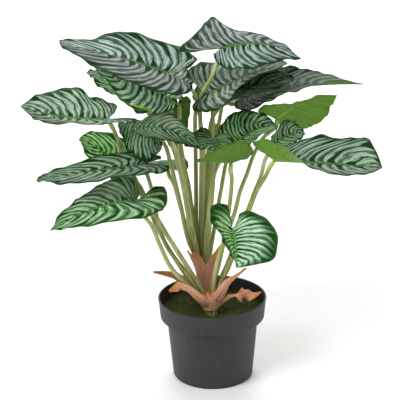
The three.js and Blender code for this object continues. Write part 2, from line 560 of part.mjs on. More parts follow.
// The blade as a thin solid with its midrib standing proud below, grown by a margin
function bladeSolid(surface, margin) {
  const grid = [];
  for (let i = 0; i <= BLADE_ROWS; i += 1) {
    const row = [];
    for (let j = -HALF_COLUMNS; j <= HALF_COLUMNS; j += 1) {
      row.push(surface.point(i / BLADE_ROWS, j / HALF_COLUMNS));
    }
    grid.push(row);
  }
  widen(grid, margin);
  const half = BLADE_THICKNESS / 2 + margin;
  const taper = (i) => 1 - (RIB_TAPER * i) / BLADE_ROWS;
  const rib = (i, j) => (j === HALF_COLUMNS ? RIB_DEPTH * taper(i) : 0);
  return sheetSolid(grid, () => half, (i, j) => half + rib(i, j));
}

function polygon(radius, sides) {
  const shape = new THREE.Shape();
  for (let i = 0; i < sides; i += 1) {
    const angle = (i / sides) * 2 * Math.PI;
    if (i === 0) {
      shape.moveTo(radius, 0);
    } else {
      shape.lineTo(radius * Math.cos(angle), radius * Math.sin(angle));
    }
  }
  shape.closePath();
  return shape;
}

// The way a stalk takes: out of its shoot, along its own points, and up to the midrib
// from below and a little behind
function stalkPath(stalk, shoot, surface) {
  const points = stalk.via.map((p) => new THREE.Vector3(...p));
  const heading = new THREE.Vector2(points[0].x - shoot.x, points[0].y - shoot.y);
  heading.setLength(Math.min(heading.length(), STALK_ROOT_SPREAD));
  const root = new THREE.Vector3(shoot.x + heading.x, shoot.y + heading.y, shoot.fork);
  const seat = surface.midrib(0);
  const end = seat.point.clone().addScaledVector(seat.ahead, STALK_SEAT);
  const knee = seat.point.clone();
  knee.addScaledVector(seat.above, -(stalk.below ?? KNEE_BELOW));
  knee.addScaledVector(seat.ahead, -(stalk.behind ?? KNEE_BEHIND));
  return new THREE.CatmullRomCurve3([root, ...points, knee, end], false, 'centripetal');
}

function stalkSolid(path, radius) {
  const steps = Math.ceil(path.getLength() / STALK_STEP);
  const options = { steps, bevelEnabled: false, extrudePath: path };
  return toSolid(new THREE.ExtrudeGeometry(polygon(radius, STALK_SIDES), options));
}

const surfaces = new Map(BLADES.map((blade) => [blade.name, bladeSurface(blade)]));

function makeBlades() {
  surfaces.forEach((surface, name) => addPiece(name, fromSolid(bladeSolid(surface, 0)), BLADE));
}

// Each shoot with all its stalks as one body, ending just under each blade
function makeStems() {
  const blades = wasm.Manifold.union([...surfaces.values()].map((surface) => bladeSolid(surface, GAP)));
  Object.entries(SHOOTS).forEach(([key, shoot]) => {
    const { x, y, radius, root, top } = shoot;
    const stub = toSolid(upright(x, y, radius, root, top, STUB_SIDES));
    const stalks = STALKS.filter((stalk) => stalk.shoot === key).map((stalk) => {
      const path = stalkPath(stalk, shoot, surfaces.get(stalk.blade));
      return stalkSolid(path, STALK_RADIUS);
    });
    const stems = wasm.Manifold.union([stub, ...stalks]).subtract(blades);
    addPiece(shoot.stems, fromSolid(mainPiece(stems)), STALK);
  });
}

// The space that the stems take, grown by the gap
function stalkClearances() {
  const stubs = Object.values(SHOOTS).map(({ x, y, radius, root, top }) => (
    toSolid(upright(x, y, radius + GAP, root, top + GAP, STUB_SIDES))
  ));
  const stalks = STALKS.map((stalk) => {
    const path = stalkPath(stalk, SHOOTS[stalk.shoot], surfaces.get(stalk.blade));
    return stalkSolid(path, STALK_RADIUS + STALK_GAP);
  });
  return wasm.Manifold.union([...stubs, ...stalks]);
}

// A three-value profile of a sheath: at its foot, its middle and its tip
function along([foot, middle, tip], v) {
  return foot * (1 - v) ** 2 + 2 * middle * v * (1 - v) + tip * v ** 2;
}

// A sheath as a thin scale that wraps its shoot at the foot and flares to its tip
function sheathSolid(sheath, shoot, margin) {
  const path = new THREE.CatmullRomCurve3(sheath.path.map((p) => new THREE.Vector3(...p)));
  const grid = [];
  for (let i = 0; i <= SHEATH_ROWS; i += 1) {
    const v = i / SHEATH_ROWS;
    const ahead = path.getTangent(v);
    const centre = path.getPoint(v).addScaledVector(ahead, margin * Math.round(2 * v - 1));
    const outward = new THREE.Vector3(centre.x - shoot.x, centre.y - shoot.y, 0);
    outward.addScaledVector(ahead, -outward.dot(ahead)).normalize();
    const aside = new THREE.Vector3().crossVectors(ahead, outward);
    const cup = radians(along(sheath.cup, v));
    const halfWidth = along(sheath.width, v) + margin;
    const row = [];
    for (let j = -SHEATH_COLUMNS / 2; j <= SHEATH_COLUMNS / 2; j += 1) {
      const turn = (cup * j * 2) / SHEATH_COLUMNS;
      const p = centre.clone().addScaledVector(aside, (halfWidth * Math.sin(turn)) / cup);
      row.push(p.addScaledVector(outward, (-halfWidth * (1 - Math.cos(turn))) / cup));
    }
    grid.push(row);
  }
  const half = SHEATH_THICKNESS / 2 + margin;
  return sheetSolid(grid, () => half, () => half);
}

function makeSheaths() {
  let taken = stalkClearances();
  SHEATHS.forEach((sheath) => {
    const shoot = SHOOTS[sheath.shoot];
    const free = mainPiece(sheathSolid(sheath, shoot, 0).subtract(taken));
    addPiece(sheath.name, fromSolid(free), SHEATH);
    taken = taken.add(sheathSolid(sheath, shoot, GAP));
  });
}

makePot();
makeSoil();
makeMoss();
makeBlades();
makeStems();
makeSheaths();

export default plant;
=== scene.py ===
# Looks of a potted peacock plant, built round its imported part.
# The scene is in metres. Sizes and tables are in millimetres and degrees, as in the part's source.
# +Z is up, the origin is the centre of the pot's underside, and -Y is the side seen first.

import math

import bpy
import numpy as np
from mathutils import Matrix


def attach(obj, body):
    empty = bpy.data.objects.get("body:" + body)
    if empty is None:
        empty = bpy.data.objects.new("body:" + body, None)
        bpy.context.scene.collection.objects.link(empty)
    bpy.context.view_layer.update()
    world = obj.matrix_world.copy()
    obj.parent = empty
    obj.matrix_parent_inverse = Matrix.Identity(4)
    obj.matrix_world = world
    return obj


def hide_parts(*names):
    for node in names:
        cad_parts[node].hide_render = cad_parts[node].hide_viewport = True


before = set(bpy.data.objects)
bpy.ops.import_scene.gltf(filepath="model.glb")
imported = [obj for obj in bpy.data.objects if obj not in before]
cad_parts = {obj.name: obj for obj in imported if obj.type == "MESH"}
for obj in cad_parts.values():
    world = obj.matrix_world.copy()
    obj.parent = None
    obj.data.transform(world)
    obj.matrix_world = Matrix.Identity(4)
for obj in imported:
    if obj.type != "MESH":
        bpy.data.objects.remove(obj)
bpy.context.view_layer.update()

MM = 0.001

# Small lengths: the least to divide by, just before a line's end, and in the same place
LEAST = 1e-12
NEAR_END = 1e-9
SAME_PLACE = 1e-6

# The pot, as in the part
POT_HEIGHT = 116
RIM_RADIUS = 75
RIM_LIP = 2.6
RIM_TAPER = 0.8
RIM_TAPER_DEPTH = 3
COLLAR_HEIGHT = 28
COLLAR_FOOT_RADIUS = 72
COLLAR_STEP = 1
NECK_RADIUS = 63.2
FOOT_RADIUS = 55.5
FOOT_BEVEL = 2
WALL = 2
FLOOR = 3
STEP_DEPTH = 4
DRAIN_HOLES = 5
DRAIN_RADIUS = 5
DRAIN_CIRCLE_RADIUS = 34

# What fills the pot, as in the part
SOIL_TOP = 94
MOSS_THICKNESS = 4.2
MOSS_RELIEF = 1.4
MOSS_EDGE_DROP = 2
GAP = 0.35

# Blades, as in the part
VEIN_SWEEP = 2.5
LOBE_SWEEP = 1.35
ARC_STEPS = 8
WAVE_HEIGHT = 2
WAVE_COUNT = 2.5
WAVE_FADE = 6
LIP_START = 0.7
LIFT_CURVE = 1.3
RIB_TAPER = 0.8

# Stalks, as in the part
STALK_RADIUS = 2.9
STALK_ROOT_SPREAD = 3
STALK_SEAT = 1
KNEE_BELOW = 9
KNEE_BEHIND = 4

# Half a blade's usual edge, as (share of the midrib, share of the half's width)
USUAL_EDGE = [
    (0, 0), (-0.1, 0.1), (-0.2, 0.45), (-0.1, 0.85), (0.12, 1),
    (0.36, 1), (0.62, 0.87), (0.83, 0.58), (0.95, 0.24), (1, 0),
]

# Blades. Pairs give the left half and the right half. An edge's first point, (0, 0), is left out.
BLADES = dict(
    leaf_01=dict(base=(-52, -10, 437), tip=(-191, -25, 481), width=(52, 57), arch=3, fold=(-22, 58),
        fold_tip=(-18, 2), edge=([(-28, 8), (-29, 26), (-7, 43), (24, 48), (48, 54), (72, 48), (93, 37),
        (114, 24), (136, 13), (147, 6), (147, 0)], [(-17, 9), (-31, 29), (-28, 42), (-2, 50), (32, 49),
        (60, 54), (82, 52), (105, 35), (130, 20), (147, 15), (147, 0)])),
    leaf_02=dict(base=(14, -5, 467), tip=(119, 30, 446), width=(50, 46), arch=12, fold=(48, -32),
        fold_tip=(4, -24), edge=([(-6, 2), (-36, 8), (-52, 18), (-30, 34), (-10, 44), (2, 54), (13, 62),
        (22, 50), (46, 34), (68, 34), (90, 22), (106, 10), (113, 0)], [(-12, 6), (-13, 17), (-9, 30),
        (3, 44), (30, 50), (59, 37), (81, 27), (112, 8), (113, 0)])),
    leaf_03=dict(base=(45, 50, 386), tip=(209, 50, 402), width=(56, 56), arch=6, fold=(38, -22),
        fold_tip=(0, 30), edge=([(-10, 2), (-10, 12), (7, 32), (31, 44), (56, 49), (70, 50), (79, 52),
        (92, 51), (108, 48), (124, 29), (146, 12), (165, 0)], [(-10, 9), (-13, 20), (-6, 37), (14, 52),
        (33, 58), (50, 56), (68, 50), (88, 40), (108, 28), (135, 12), (165, 0)])),
    leaf_04=dict(base=(-4, 5, 403), tip=(106, 60, 429), width=(54, 46), arch=4, fold=(32, -14),
        fold_tip=(0, 0), edge=([(-3, 16), (-3, 34), (0, 52), (14, 62), (28, 62), (42, 56), (68, 56),
        (98, 50), (117, 36), (126, 18), (126, 0)], [(-8, 1), (-20, 3), (-28, 8), (-29, 18), (-20, 34),
        (-8, 46), (7, 46), (26, 28), (39, 18), (61, 11), (80, 11), (102, 9), (126, 0)])),
    leaf_05=dict(base=(4, 32, 387), tip=(115, 48, 410), width=(44, 34), arch=6, fold=(32, -4),
        fold_tip=(26, 0), lobe=(1, 0.8)),
    leaf_06=dict(base=(-56, 15, 398), tip=(-155, 5, 448), width=(48, 46), arch=4, fold=(-46, 20),
        fold_tip=(-42, 10), lobe=(0.8, 1.1), lip=(110, 0), edge=([(-10, 2), (-18, 4), (-12, 14), (1, 32),
        (14, 45), (30, 49), (53, 42), (71, 31), (91, 18), (112, 0)], None)),
    leaf_07=dict(base=(-82, 85, 366), tip=(-167, 65, 419), width=(36, 40), arch=6, fold=(-24, 10),
        fold_tip=(-16, 10), edge=([(-1, 16), (15, 35), (37, 37), (60, 37), (74, 29), (89, 20), (95, 10),
        (102, 0)], None)),
    leaf_08=dict(base=(-134, -10, 376), tip=(-245, -40, 404), width=(42, 48), arch=-6, fold=(6, 42),
        fold_tip=(-25, 26), edge=([(-12, 1), (-30, 3), (-41, 8), (-30, 14), (-10, 18), (22, 18), (52, 14),
        (80, 20), (96, 22), (107, 14), (118, 0)], [(-7, 6), (-15, 19), (-5, 31), (8, 38), (21, 38),
        (32, 53), (50, 56), (76, 46), (97, 30), (109, 13), (118, 0)])),
    leaf_09=dict(base=(-109, 77, 270), tip=(-180, 60, 327), width=(48, 46), roll=-20, arch=4,
        fold=(-5, 12)),
    leaf_10=dict(base=(-91, -10, 312), tip=(-229, -50, 305), width=(42, 25), arch=2, fold=(0, 30),
        fold_tip=(0, 22), lobe=(1.1, 1)),
    leaf_11=dict(base=(-99, -30, 270), tip=(-207, -110, 258), width=(60, 60), arch=12, sway=8,
        fold=(-6, 14), fold_tip=(-2, 0), lift=(24, 14), edge=([(-12, 3), (-26, 4), (-33, 15), (-22, 34),
        (0, 47), (34, 62), (66, 49), (94, 31), (112, 22), (126, 9), (135, 0)], [(-13, 7), (-23, 21),
        (-29, 40), (-24, 56), (0, 60), (27, 51), (58, 46), (78, 40), (107, 26), (123, 11), (135, 0)])),
    leaf_12=dict(base=(-108, 20, 365), tip=(-67, -18, 333), width=(28, 52), arch=10, fold=(24, -52),
        fold_tip=(10, -50), edge=([(6, 6), (27, 10), (46, 10), (58, 7), (65, 0)], [(-8, 2), (-16, 9),
        (-11, 15), (1, 25), (22, 38), (42, 36), (63, 30), (70, 20), (68, 9), (65, 0)])),
    leaf_13=dict(base=(-99, -52, 375), tip=(-12, -86, 361), width=(37, 40), arch=10, fold=(10, -10),
        edge=([(-4, 8), (-8, 20), (-4, 32), (10, 38), (24, 40), (36, 44), (50, 34), (66, 20), (82, 8),
        (94, 0)], [(2, 10), (12, 18), (23, 23), (35, 27), (49, 29), (60, 25), (70, 17), (80, 15), (89, 11),
        (94, 0)])),
    leaf_14=dict(base=(3, 1, 344), tip=(14, -63, 340), width=(36, 46), arch=4, fold=(14, 0), lift=(4, 14),
        edge=([(-1, 4), (-9, 11), (-2, 19), (20, 22), (40, 21), (55, 14), (63, 6), (65, 0)], [(-10, 2),
        (-17, 9), (-14, 21), (-2, 33), (17, 43), (28, 40), (40, 28), (53, 12), (65, 0)])),
    leaf_15=dict(base=(35, 30, 326), tip=(91, 70, 337), width=(44, 28), arch=8, fold=(30, 10),
        edge=([(-5, 6), (-10, 16), (-9, 28), (4, 36), (14, 38), (26, 39), (37, 39), (50, 37), (61, 32),
        (67, 21), (71, 10), (70, 0)], [(-4, 14), (1, 22), (8, 30), (20, 32), (34, 30), (55, 20), (66, 8),
        (70, 0)])),
    leaf_16=dict(base=(81, -8, 335), tip=(130, 40, 337), width=(28, 32), arch=6, fold=(40, -30),
        fold_tip=(30, -20), edge=([(4, 6), (14, 12), (26, 16), (36, 19), (46, 24), (58, 28), (65, 22),
        (66, 9), (68, 0)], [(3, 8), (12, 12), (23, 16), (45, 12), (56, 8), (68, 0)])),
    leaf_17=dict(base=(27, -55, 328), tip=(-14, -90, 343), width=(38, 34), fold=(62, -10),
        fold_tip=(50, -10), lobe=(2.3, 1)),
    leaf_18=dict(base=(92, 106, 338), tip=(179, 118, 368), width=(46, 24), arch=8, fold=(-78, 75),
        fold_tip=(-78, 50), edge=([(-1, 7), (2, 16), (9, 25), (30, 39), (40, 42), (51, 44), (60, 41),
        (74, 33), (81, 26), (84, 19), (89, 12), (93, 0)], [(-3, 8), (-8, 22), (-13, 34), (-7, 36), (3, 32),
        (11, 22), (26, 14), (39, 8), (55, 4), (74, 3), (93, 0)])),
    leaf_19=dict(base=(81, -50, 329), tip=(219, -75, 325), width=(50, 50), fold=(26, 125),
        fold_tip=(38, -58), edge=([(-5, 8), (-3, 17), (12, 28), (31, 40), (56, 47), (76, 43), (97, 47),
        (115, 50), (124, 38), (134, 18), (141, 0)], [(-14, 8), (-27, 18), (-26, 28), (-14, 38), (0, 48),
        (22, 52), (44, 48), (66, 34), (88, 22), (110, 18), (128, 9), (141, 0)])),
    leaf_20=dict(base=(27, -75, 244), tip=(31, -110, 203), width=(56, 32), arch=4, fold=(0, 20),
        fold_tip=(0, -100), lift=(6, 14), edge=([(-10, 7), (-22, 14), (-23, 29), (-8, 48), (12, 57),
        (32, 55), (46, 48), (51, 26), (54, 0)], [(-14, 1), (-32, 5), (-36, 25), (-22, 31), (-4, 23),
        (14, 20), (32, 16), (46, 9), (54, 0)])),
    leaf_21=dict(base=(-44, 95, 366), tip=(-49, 115, 289), width=(20, 20), arch=8),
    leaf_22=dict(base=(18, 100, 371), tip=(63, 200, 364), width=(46, 44), arch=8, fold=(6, 6)),
    leaf_23=dict(base=(-59, 80, 398), tip=(-110, 170, 392), width=(44, 44), arch=8, fold=(6, 6)),
    leaf_24=dict(base=(34, 108, 315), tip=(57, 195, 298), width=(38, 38), arch=6, fold=(4, 4)),
    leaf_25=dict(base=(-60, 118, 264), tip=(-83, 200, 244), width=(32, 32), arch=6, fold=(4, 4)),
)

# Stalks on the front shoot: the points they pass, and how far below and behind their blades they bend
FRONT_STALKS = dict(
    leaf_08=dict(via=[(-13, -25, 133), (-21, -24, 148), (-38, -26, 179), (-57, -32, 215), (-73, -30, 244),
        (-92, -19, 271), (-101, -9, 292), (-113, 12, 302), (-118, 13, 319), (-124, 4, 345)]),
    leaf_09=dict(via=[(-15, -20, 127), (-27, -14, 141), (-46, 2, 164), (-65, 24, 189), (-80, 46, 212),
        (-90, 64, 235), (-101, 74, 256)]),
    leaf_10=dict(via=[(-17, -22, 127), (-28, -22, 150), (-44, -20, 172), (-62, -12, 198), (-72, -2, 225),
        (-79, 6, 266)]),
    leaf_11=dict(below=9, behind=0, via=[(-18, -27, 124), (-30, -29, 141), (-55, -32, 172), (-69, -34, 205),
        (-81, -32, 235)]),
    leaf_16=dict(below=8, behind=-8, via=[(5, -16, 132), (19, -10, 162), (36, -8, 208), (49, -8, 244),
        (59, -8, 272), (67, -8, 293), (74, -6, 319)]),
    leaf_17=dict(behind=0, via=[(2, -20, 141), (10, -24, 177), (18, -30, 218), (24, -38, 263),
        (27, -48, 303)]),
    leaf_18=dict(via=[(1, -18, 140), (16, 8, 188), (33, 30, 229), (40, 42, 252), (51, 58, 275),
        (59, 72, 293), (74, 90, 315)]),
    leaf_19=dict(via=[(8, -20, 135), (23, -22, 170), (38, -28, 215), (49, -32, 250), (60, -38, 283),
        (72, -45, 307)]),
    leaf_20=dict(below=6, behind=-3, via=[(4, -24, 158), (14, -34, 204), (22, -62, 232)]),
)

# Stalks on the rear shoot
REAR_STALKS = dict(
    leaf_01=dict(below=5, behind=6, via=[(-16, 36, 146), (-20, 38, 200), (-20, 40, 260), (-20, 38, 320),
        (-20, 18, 368), (-18, 2, 400), (-30, -8, 420)]),
    leaf_02=dict(via=[(-12, 34, 147), (-14, 38, 200), (-13, 40, 260), (-12, 36, 320), (-13, 20, 365),
        (-12, 6, 400), (1, -7, 428)]),
    leaf_03=dict(via=[(-9, 38, 148), (-7, 44, 190), (-4, 54, 250), (-2, 68, 310), (4, 76, 350),
        (22, 64, 374)]),
    leaf_04=dict(via=[(-12, 36, 152), (-12, 38, 200), (-9, 40, 260), (-9, 37, 320), (-13, 19, 365),
        (-13, 8, 385)]),
    leaf_05=dict(via=[(-11, 38, 151), (-9, 40, 184), (-4, 42, 242), (1, 40, 301), (4, 36, 348)]),
    leaf_06=dict(via=[(-18, 38, 142), (-25, 38, 211), (-30, 36, 264), (-35, 34, 290), (-41, 29, 332),
        (-50, 22, 369)]),
    leaf_07=dict(via=[(-16, 40, 144), (-27, 46, 181), (-33, 54, 223), (-42, 66, 274), (-53, 78, 311),
        (-69, 84, 343)]),
    leaf_12=dict(via=[(-16, 32, 145), (-32, 30, 188), (-41, 26, 238), (-48, 23, 274), (-55, 20, 308),
        (-62, 18, 332), (-83, 19, 353)]),
    leaf_13=dict(below=7, behind=-9, via=[(-16, 34, 147), (-28, 16, 220), (-34, 2, 267), (-40, -8, 299),
        (-48, -22, 341), (-62, -34, 360), (-81, -44, 369)]),
    leaf_14=dict(below=8, behind=-4, via=[(-11, 34, 141), (-9, 32, 172), (-4, 28, 225), (2, 24, 277),
        (5, 22, 314)]),
    leaf_15=dict(via=[(-9, 38, 142), (-5, 37, 185), (0, 34, 245), (7, 30, 290), (20, 29, 310)]),
    leaf_21=dict(via=[(-15, 42, 144), (-26, 50, 180), (-32, 66, 234), (-37, 80, 276), (-42, 90, 314)]),
    leaf_22=dict(via=[(-6, 44, 150), (-2, 54, 200), (4, 68, 260), (10, 84, 320)]),
    leaf_23=dict(via=[(-14, 44, 150), (-22, 52, 200), (-34, 60, 270), (-48, 70, 340)]),
    leaf_24=dict(via=[(-4, 44, 146), (4, 58, 190), (14, 76, 240), (24, 94, 285)]),
    leaf_25=dict(via=[(-16, 42, 140), (-28, 54, 175), (-42, 80, 215), (-52, 104, 245)]),
)

SHOOTS = dict(
    front=dict(x=-2, y=-20, radius=8.2, root=78, fork=103, top=110, stalks=FRONT_STALKS),
    rear=dict(x=-8, y=34, radius=8.6, root=78, fork=108, top=120, stalks=REAR_STALKS),
)

# Sheaths: half width and cup at the foot, the middle and the tip, and the path
SHEATHS = dict(
    sheath_front_left=dict(width=(16, 14, 2), cup=(80, 45, 10), path=[(-13, -30, 113), (-24, -36, 129),
        (-34, -38, 141), (-46, -38, 146), (-59, -38, 141)]),
    sheath_front_middle=dict(width=(12, 14, 7), cup=(50, 40, 20), path=[(-1, -32, 108), (-2, -35, 122),
        (-6, -38, 140)]),
    sheath_front_right=dict(width=(16, 14, 1), cup=(70, 50, 10), path=[(2, -29, 112), (13, -34, 131),
        (21, -36, 148), (31, -36, 159), (46, -36, 172)]),
    sheath_front_low=dict(width=(6, 17, 1), cup=(30, -20, -20), path=[(6, -21, 107), (23, -23, 124),
        (38, -24, 128), (52, -28, 128), (66, -34, 136)]),
    sheath_front_back=dict(width=(10, 10, 1), cup=(60, 40, 10), path=[(-11, -13, 106), (-26, -7, 128),
        (-42, -5, 142), (-58, -5, 151), (-81, -6, 156)]),
    sheath_rear_left=dict(width=(12, 12, 12), cup=(80, 60, 30), path=[(-10, 24, 106), (-15, 20, 138),
        (-22, 16, 160), (-30, 13, 180)]),
    sheath_rear_right=dict(width=(14, 14, 1), cup=(80, 60, 10), path=[(-2, 25, 106), (-1, 20, 140),
        (5, 17, 164), (17, 16, 192)]),
)

# Tints. A pair gives the left half and the right half, and a single number is for both.
PLAIN_TINT = dict(
    silver=0.6,  # how silvery the bands are
    grey_and_sheen=0.15,  # how greyish: partly the blade's own grey, partly a painted grey sheen
    painted_shade=0,  # painted shade: how much darker, and painted light below 0: how much lighter
    band=0.9,  # how far out the bands reach
)
TINTS = dict(
    leaf_01=dict(silver=1, grey_and_sheen=(0.4, 0), painted_shade=(0.1, -0.1)),
    leaf_02=dict(silver=1, grey_and_sheen=(0.5, 0)),
    leaf_03=dict(silver=0.5, grey_and_sheen=0.3, painted_shade=(0.45, 0.4)),
    leaf_04=dict(silver=0.8, grey_and_sheen=0.1, painted_shade=(0.1, 0.2)),
    leaf_05=dict(silver=0.3, grey_and_sheen=0.1, painted_shade=0.2),
    leaf_06=dict(silver=0.7, grey_and_sheen=(0.1, 0), painted_shade=(-1.4, -1.2)),
    leaf_07=dict(silver=0.4, grey_and_sheen=0.2, painted_shade=-0.2),
    leaf_08=dict(silver=(0.5, 0.6), grey_and_sheen=(0.3, 0.15), painted_shade=(-0.05, -0.35)),
    leaf_09=dict(silver=0.1, grey_and_sheen=0, painted_shade=-1.1),
    leaf_10=dict(silver=0.5, grey_and_sheen=(0.2, 0), painted_shade=(0.1, 0)),
    leaf_11=dict(silver=0.3, grey_and_sheen=0, painted_shade=(-0.6, -0.35)),
    leaf_12=dict(silver=0.5, grey_and_sheen=0, painted_shade=0.1),
    leaf_13=dict(silver=0.3, grey_and_sheen=0, painted_shade=0.3),
    leaf_14=dict(silver=0, grey_and_sheen=0, painted_shade=0.1),
    leaf_15=dict(silver=0.3, grey_and_sheen=0, painted_shade=-1),
    leaf_16=dict(silver=0.2, grey_and_sheen=0, painted_shade=-0.1),
    leaf_17=dict(silver=0.1, grey_and_sheen=0, painted_shade=0.2),
    leaf_19=dict(silver=0.6, grey_and_sheen=0.1, painted_shade=(-0.1, 0)),
    leaf_20=dict(silver=(0.5, 0.1), grey_and_sheen=0, painted_shade=(-0.9, -0.2), band=(0.6, 0.5)),
    leaf_21=dict(silver=0.1, grey_and_sheen=0, painted_shade=0.5),
)


def unit(v):
    return v / np.maximum(np.linalg.norm(v, axis=-1, keepdims=True), LEAST)


def dot(a, b):
    return (a * b).sum(-1, keepdims=True)


def rotated(v, axis, angle):
    cos, sin = math.cos(angle), math.sin(angle)
    return v * cos + np.cross(axis, v) * sin + axis * dot(axis, v) * (1 - cos)


def stretch(share, last):
    """The stretch of a line that each share of it falls in, and the share of that stretch."""
    at = np.clip(share * last, 0, last - NEAR_END)
    i = at.astype(int)
    return i, (at - i)[..., None]


def spline(points, share):
    """Points of a uniform spline through the given points, at shares of its points."""
    last = len(points) - 1
    i, f = stretch(share, last)
    a, b, c, d = (points[np.clip(i + k, 0, last)] for k in (-1, 0, 1, 2))
    square, cube = 2 * a - 5 * b + 4 * c - d, 3 * b - a - 3 * c + d
    return 0.5 * (2 * b + (c - a) * f + square * f**2 + cube * f**3)


def curve(points, share):
    """Points of a centripetal spline through the given points in space, at shares of its points."""
    points = np.array(points, float)
    points = np.vstack([2 * points[0] - points[1], points, 2 * points[-1] - points[-2]])
    i, f = stretch(share, len(points) - 3)
    p0, p1, p2, p3 = (points[i + k] for k in range(4))
    s0, s1, s2 = p1 - p0, p2 - p1, p3 - p2
    d0, d1, d2 = (np.linalg.norm(s, axis=-1, keepdims=True) ** 0.5 for s in (s0, s1, s2))
    out = d1 * (s0 / d0 - (p2 - p0) / (d0 + d1) + s1 / d1)
    back = d1 * (s1 / d1 - (p3 - p1) / (d1 + d2) + s2 / d2)
    return p1 + out * f + (3 * s1 - 2 * out - back) * f**2 + (-2 * s1 + out + back) * f**3


def evenly(points, step):
    """The same line with points a step apart."""
    lengths = np.concatenate([[0], np.cumsum(np.linalg.norm(np.diff(points, axis=0), axis=1))])
    places = np.linspace(0, lengths[-1], max(2, round(lengths[-1] / step)) + 1)
    return np.stack([np.interp(places, lengths, points[:, k]) for k in range(3)], 1)


def smooth(low, high, x):
    """0 below low, 1 above high, and a soft step between."""
    t = np.clip((x - low) / (high - low), 0, 1)
    return t * t * (3 - 2 * t)


def ring_faces(number):
    """Quads between rings of points, whose numbers are given ring by ring."""
    turned_on = np.roll(number, -1, 1)
    quads = np.stack([number[:-1], turned_on[:-1], turned_on[1:], number[1:]], -1)
    return quads.reshape(-1, 4).tolist()


def closed_faces(quads):
    """Faces without repeated corners, and without the faces that vanish."""
    faces = []
    for quad in quads:
        face = [v for k, v in enumerate(quad) if v != quad[k - 1]]
        if len(set(face)) > 2:
            faces.append(face)
    return faces


def add_object(name, data):
    piece = bpy.data.objects.new(name, data)
    bpy.context.scene.collection.objects.link(piece)
    return piece


def add_mesh(name, points, faces, attributes=None):
    """A smooth mesh of the points that its faces use, each with its own values."""
    used = np.zeros(len(points), bool)
    used[np.concatenate(faces)] = True
    number = np.cumsum(used) - 1
    faces = [number[face].tolist() for face in faces]
    mesh = bpy.data.meshes.new(name)
    mesh.from_pydata((np.asarray(points)[used] * MM).tolist(), [], faces)
    for key, values in (attributes or {}).items():
        layer = mesh.attributes.new(key, "FLOAT", "POINT")
        layer.data.foreach_set("value", np.ravel(values)[used].astype(np.float32))
    mesh.polygons.foreach_set("use_smooth", [True] * len(mesh.polygons))
    return add_object(name, mesh)


def join_parts(parts):
    """Several (points, faces, attributes) as one."""
    points, faces, attributes, start = [], [], {}, 0
    for some_points, some_faces, some_attributes in parts:
        points.append(some_points)
        faces += [[v + start for v in face] for face in some_faces]
        for key, values in some_attributes.items():
            attributes.setdefault(key, []).append(np.ravel(values))
        start += len(some_points)
    return np.vstack(points), faces, {key: np.concatenate(v) for key, v in attributes.items()}


def cover(piece, material):
    piece.data.materials.clear()
    piece.data.materials.append(material)


def dress(piece, material, node):
    """Gives a piece its material, and lets it ride in place of the part's own node."""
    cover(piece, material)
    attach(piece, "root")
    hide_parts(node)


class Paint:
    """A material's nodes by short names. An input is a number, a colour or another node's output."""

    def __init__(self, name, specular):
        self.material = bpy.data.materials.new(name)
        self.material.use_nodes = True
        self.tree = self.material.node_tree
        self.shader = self.tree.nodes["Principled BSDF"]
        self.put(self.shader, "Specular IOR Level", specular)

    def put(self, node, socket, value):
        if isinstance(value, bpy.types.NodeSocket):
            self.tree.links.new(value, node.inputs[socket])
        elif isinstance(value, tuple) and node.inputs[socket].type == "RGBA":
            node.inputs[socket].default_value = (*value, 1)
        else:
            node.inputs[socket].default_value = value

    def node(self, kind, inputs=(), **settings):
        node = self.tree.nodes.new("ShaderNode" + kind)
        for key, value in settings.items():
            setattr(node, key, value)
        for socket, value in dict(inputs).items():
            self.put(node, socket, value)
        return node

    def math(self, operation, *values):
        return self.node("Math", dict(enumerate(values)), operation=operation).outputs[0]

    def plus(self, a, b):
        return self.math("ADD", a, b)

    def minus(self, a, b):
        return self.math("SUBTRACT", a, b)

    def times(self, a, b):
        return self.math("MULTIPLY", a, b)

    def span(self, value, low, high):
        """A number that goes from low to high as the value goes from 0 to 1."""
        return self.math("MULTIPLY_ADD", value, high - low, low)

    def sway(self, noise, strength):
        """Noise as a change to either side, by half the strength at most."""
        return self.span(noise, -strength / 2, strength / 2)

    def step(self, low, high, value):
        """0 at low, 1 at high, and a soft step between."""
        inputs = {"Value": value, "From Min": low, "From Max": high}
        return self.node("MapRange", inputs, interpolation_type="SMOOTHSTEP").outputs["Result"]

    def mix(self, share, first, second):
        node = self.node("Mix", data_type="RGBA")
        for socket, value in ((0, share), (6, first), (7, second)):
            self.put(node, socket, value)
        return node.outputs[2]

    def values(self, *names):
        """The numbers that a mesh gives for its points."""
        return [self.node("Attribute", attribute_name=name).outputs["Fac"] for name in names]

    def vector(self, x, y, z=0):
        return self.node("CombineXYZ", {"X": x, "Y": y, "Z": z}).outputs[0]

    def place(self, scale=(1, 1, 1)):
        place = self.node("TexCoord").outputs["Object"]
        return self.node("Mapping", {"Vector": place, "Scale": scale}).outputs["Vector"]

    def noise(self, scale, detail, vector=None, roughness=0.5):
        inputs = {"Scale": scale, "Detail": detail, "Roughness": roughness}
        inputs["Vector"] = vector or self.place()
        return self.node("TexNoise", inputs).outputs["Fac"]

    def finish(self, colour, roughness, height=None, depth=0.0):
        self.put(self.shader, "Base Color", colour)
        self.put(self.shader, "Roughness", roughness)
        if height is not None:
            bump = self.node("Bump", {"Height": height, "Distance": depth})
            self.put(self.shader, "Normal", bump.outputs["Normal"])
        return self.material


# Blades

BLADE_ROWS = 84
HALF_COLUMNS = 15
BLADE_THICKNESS = 0.7
EDGE_THICKNESS = 0.35
RIB_DEPTH = 1.5
RIB_WIDTH = 0.09
CHANNEL_DEPTH = 0.5
CHANNEL_WIDTH = 0.063

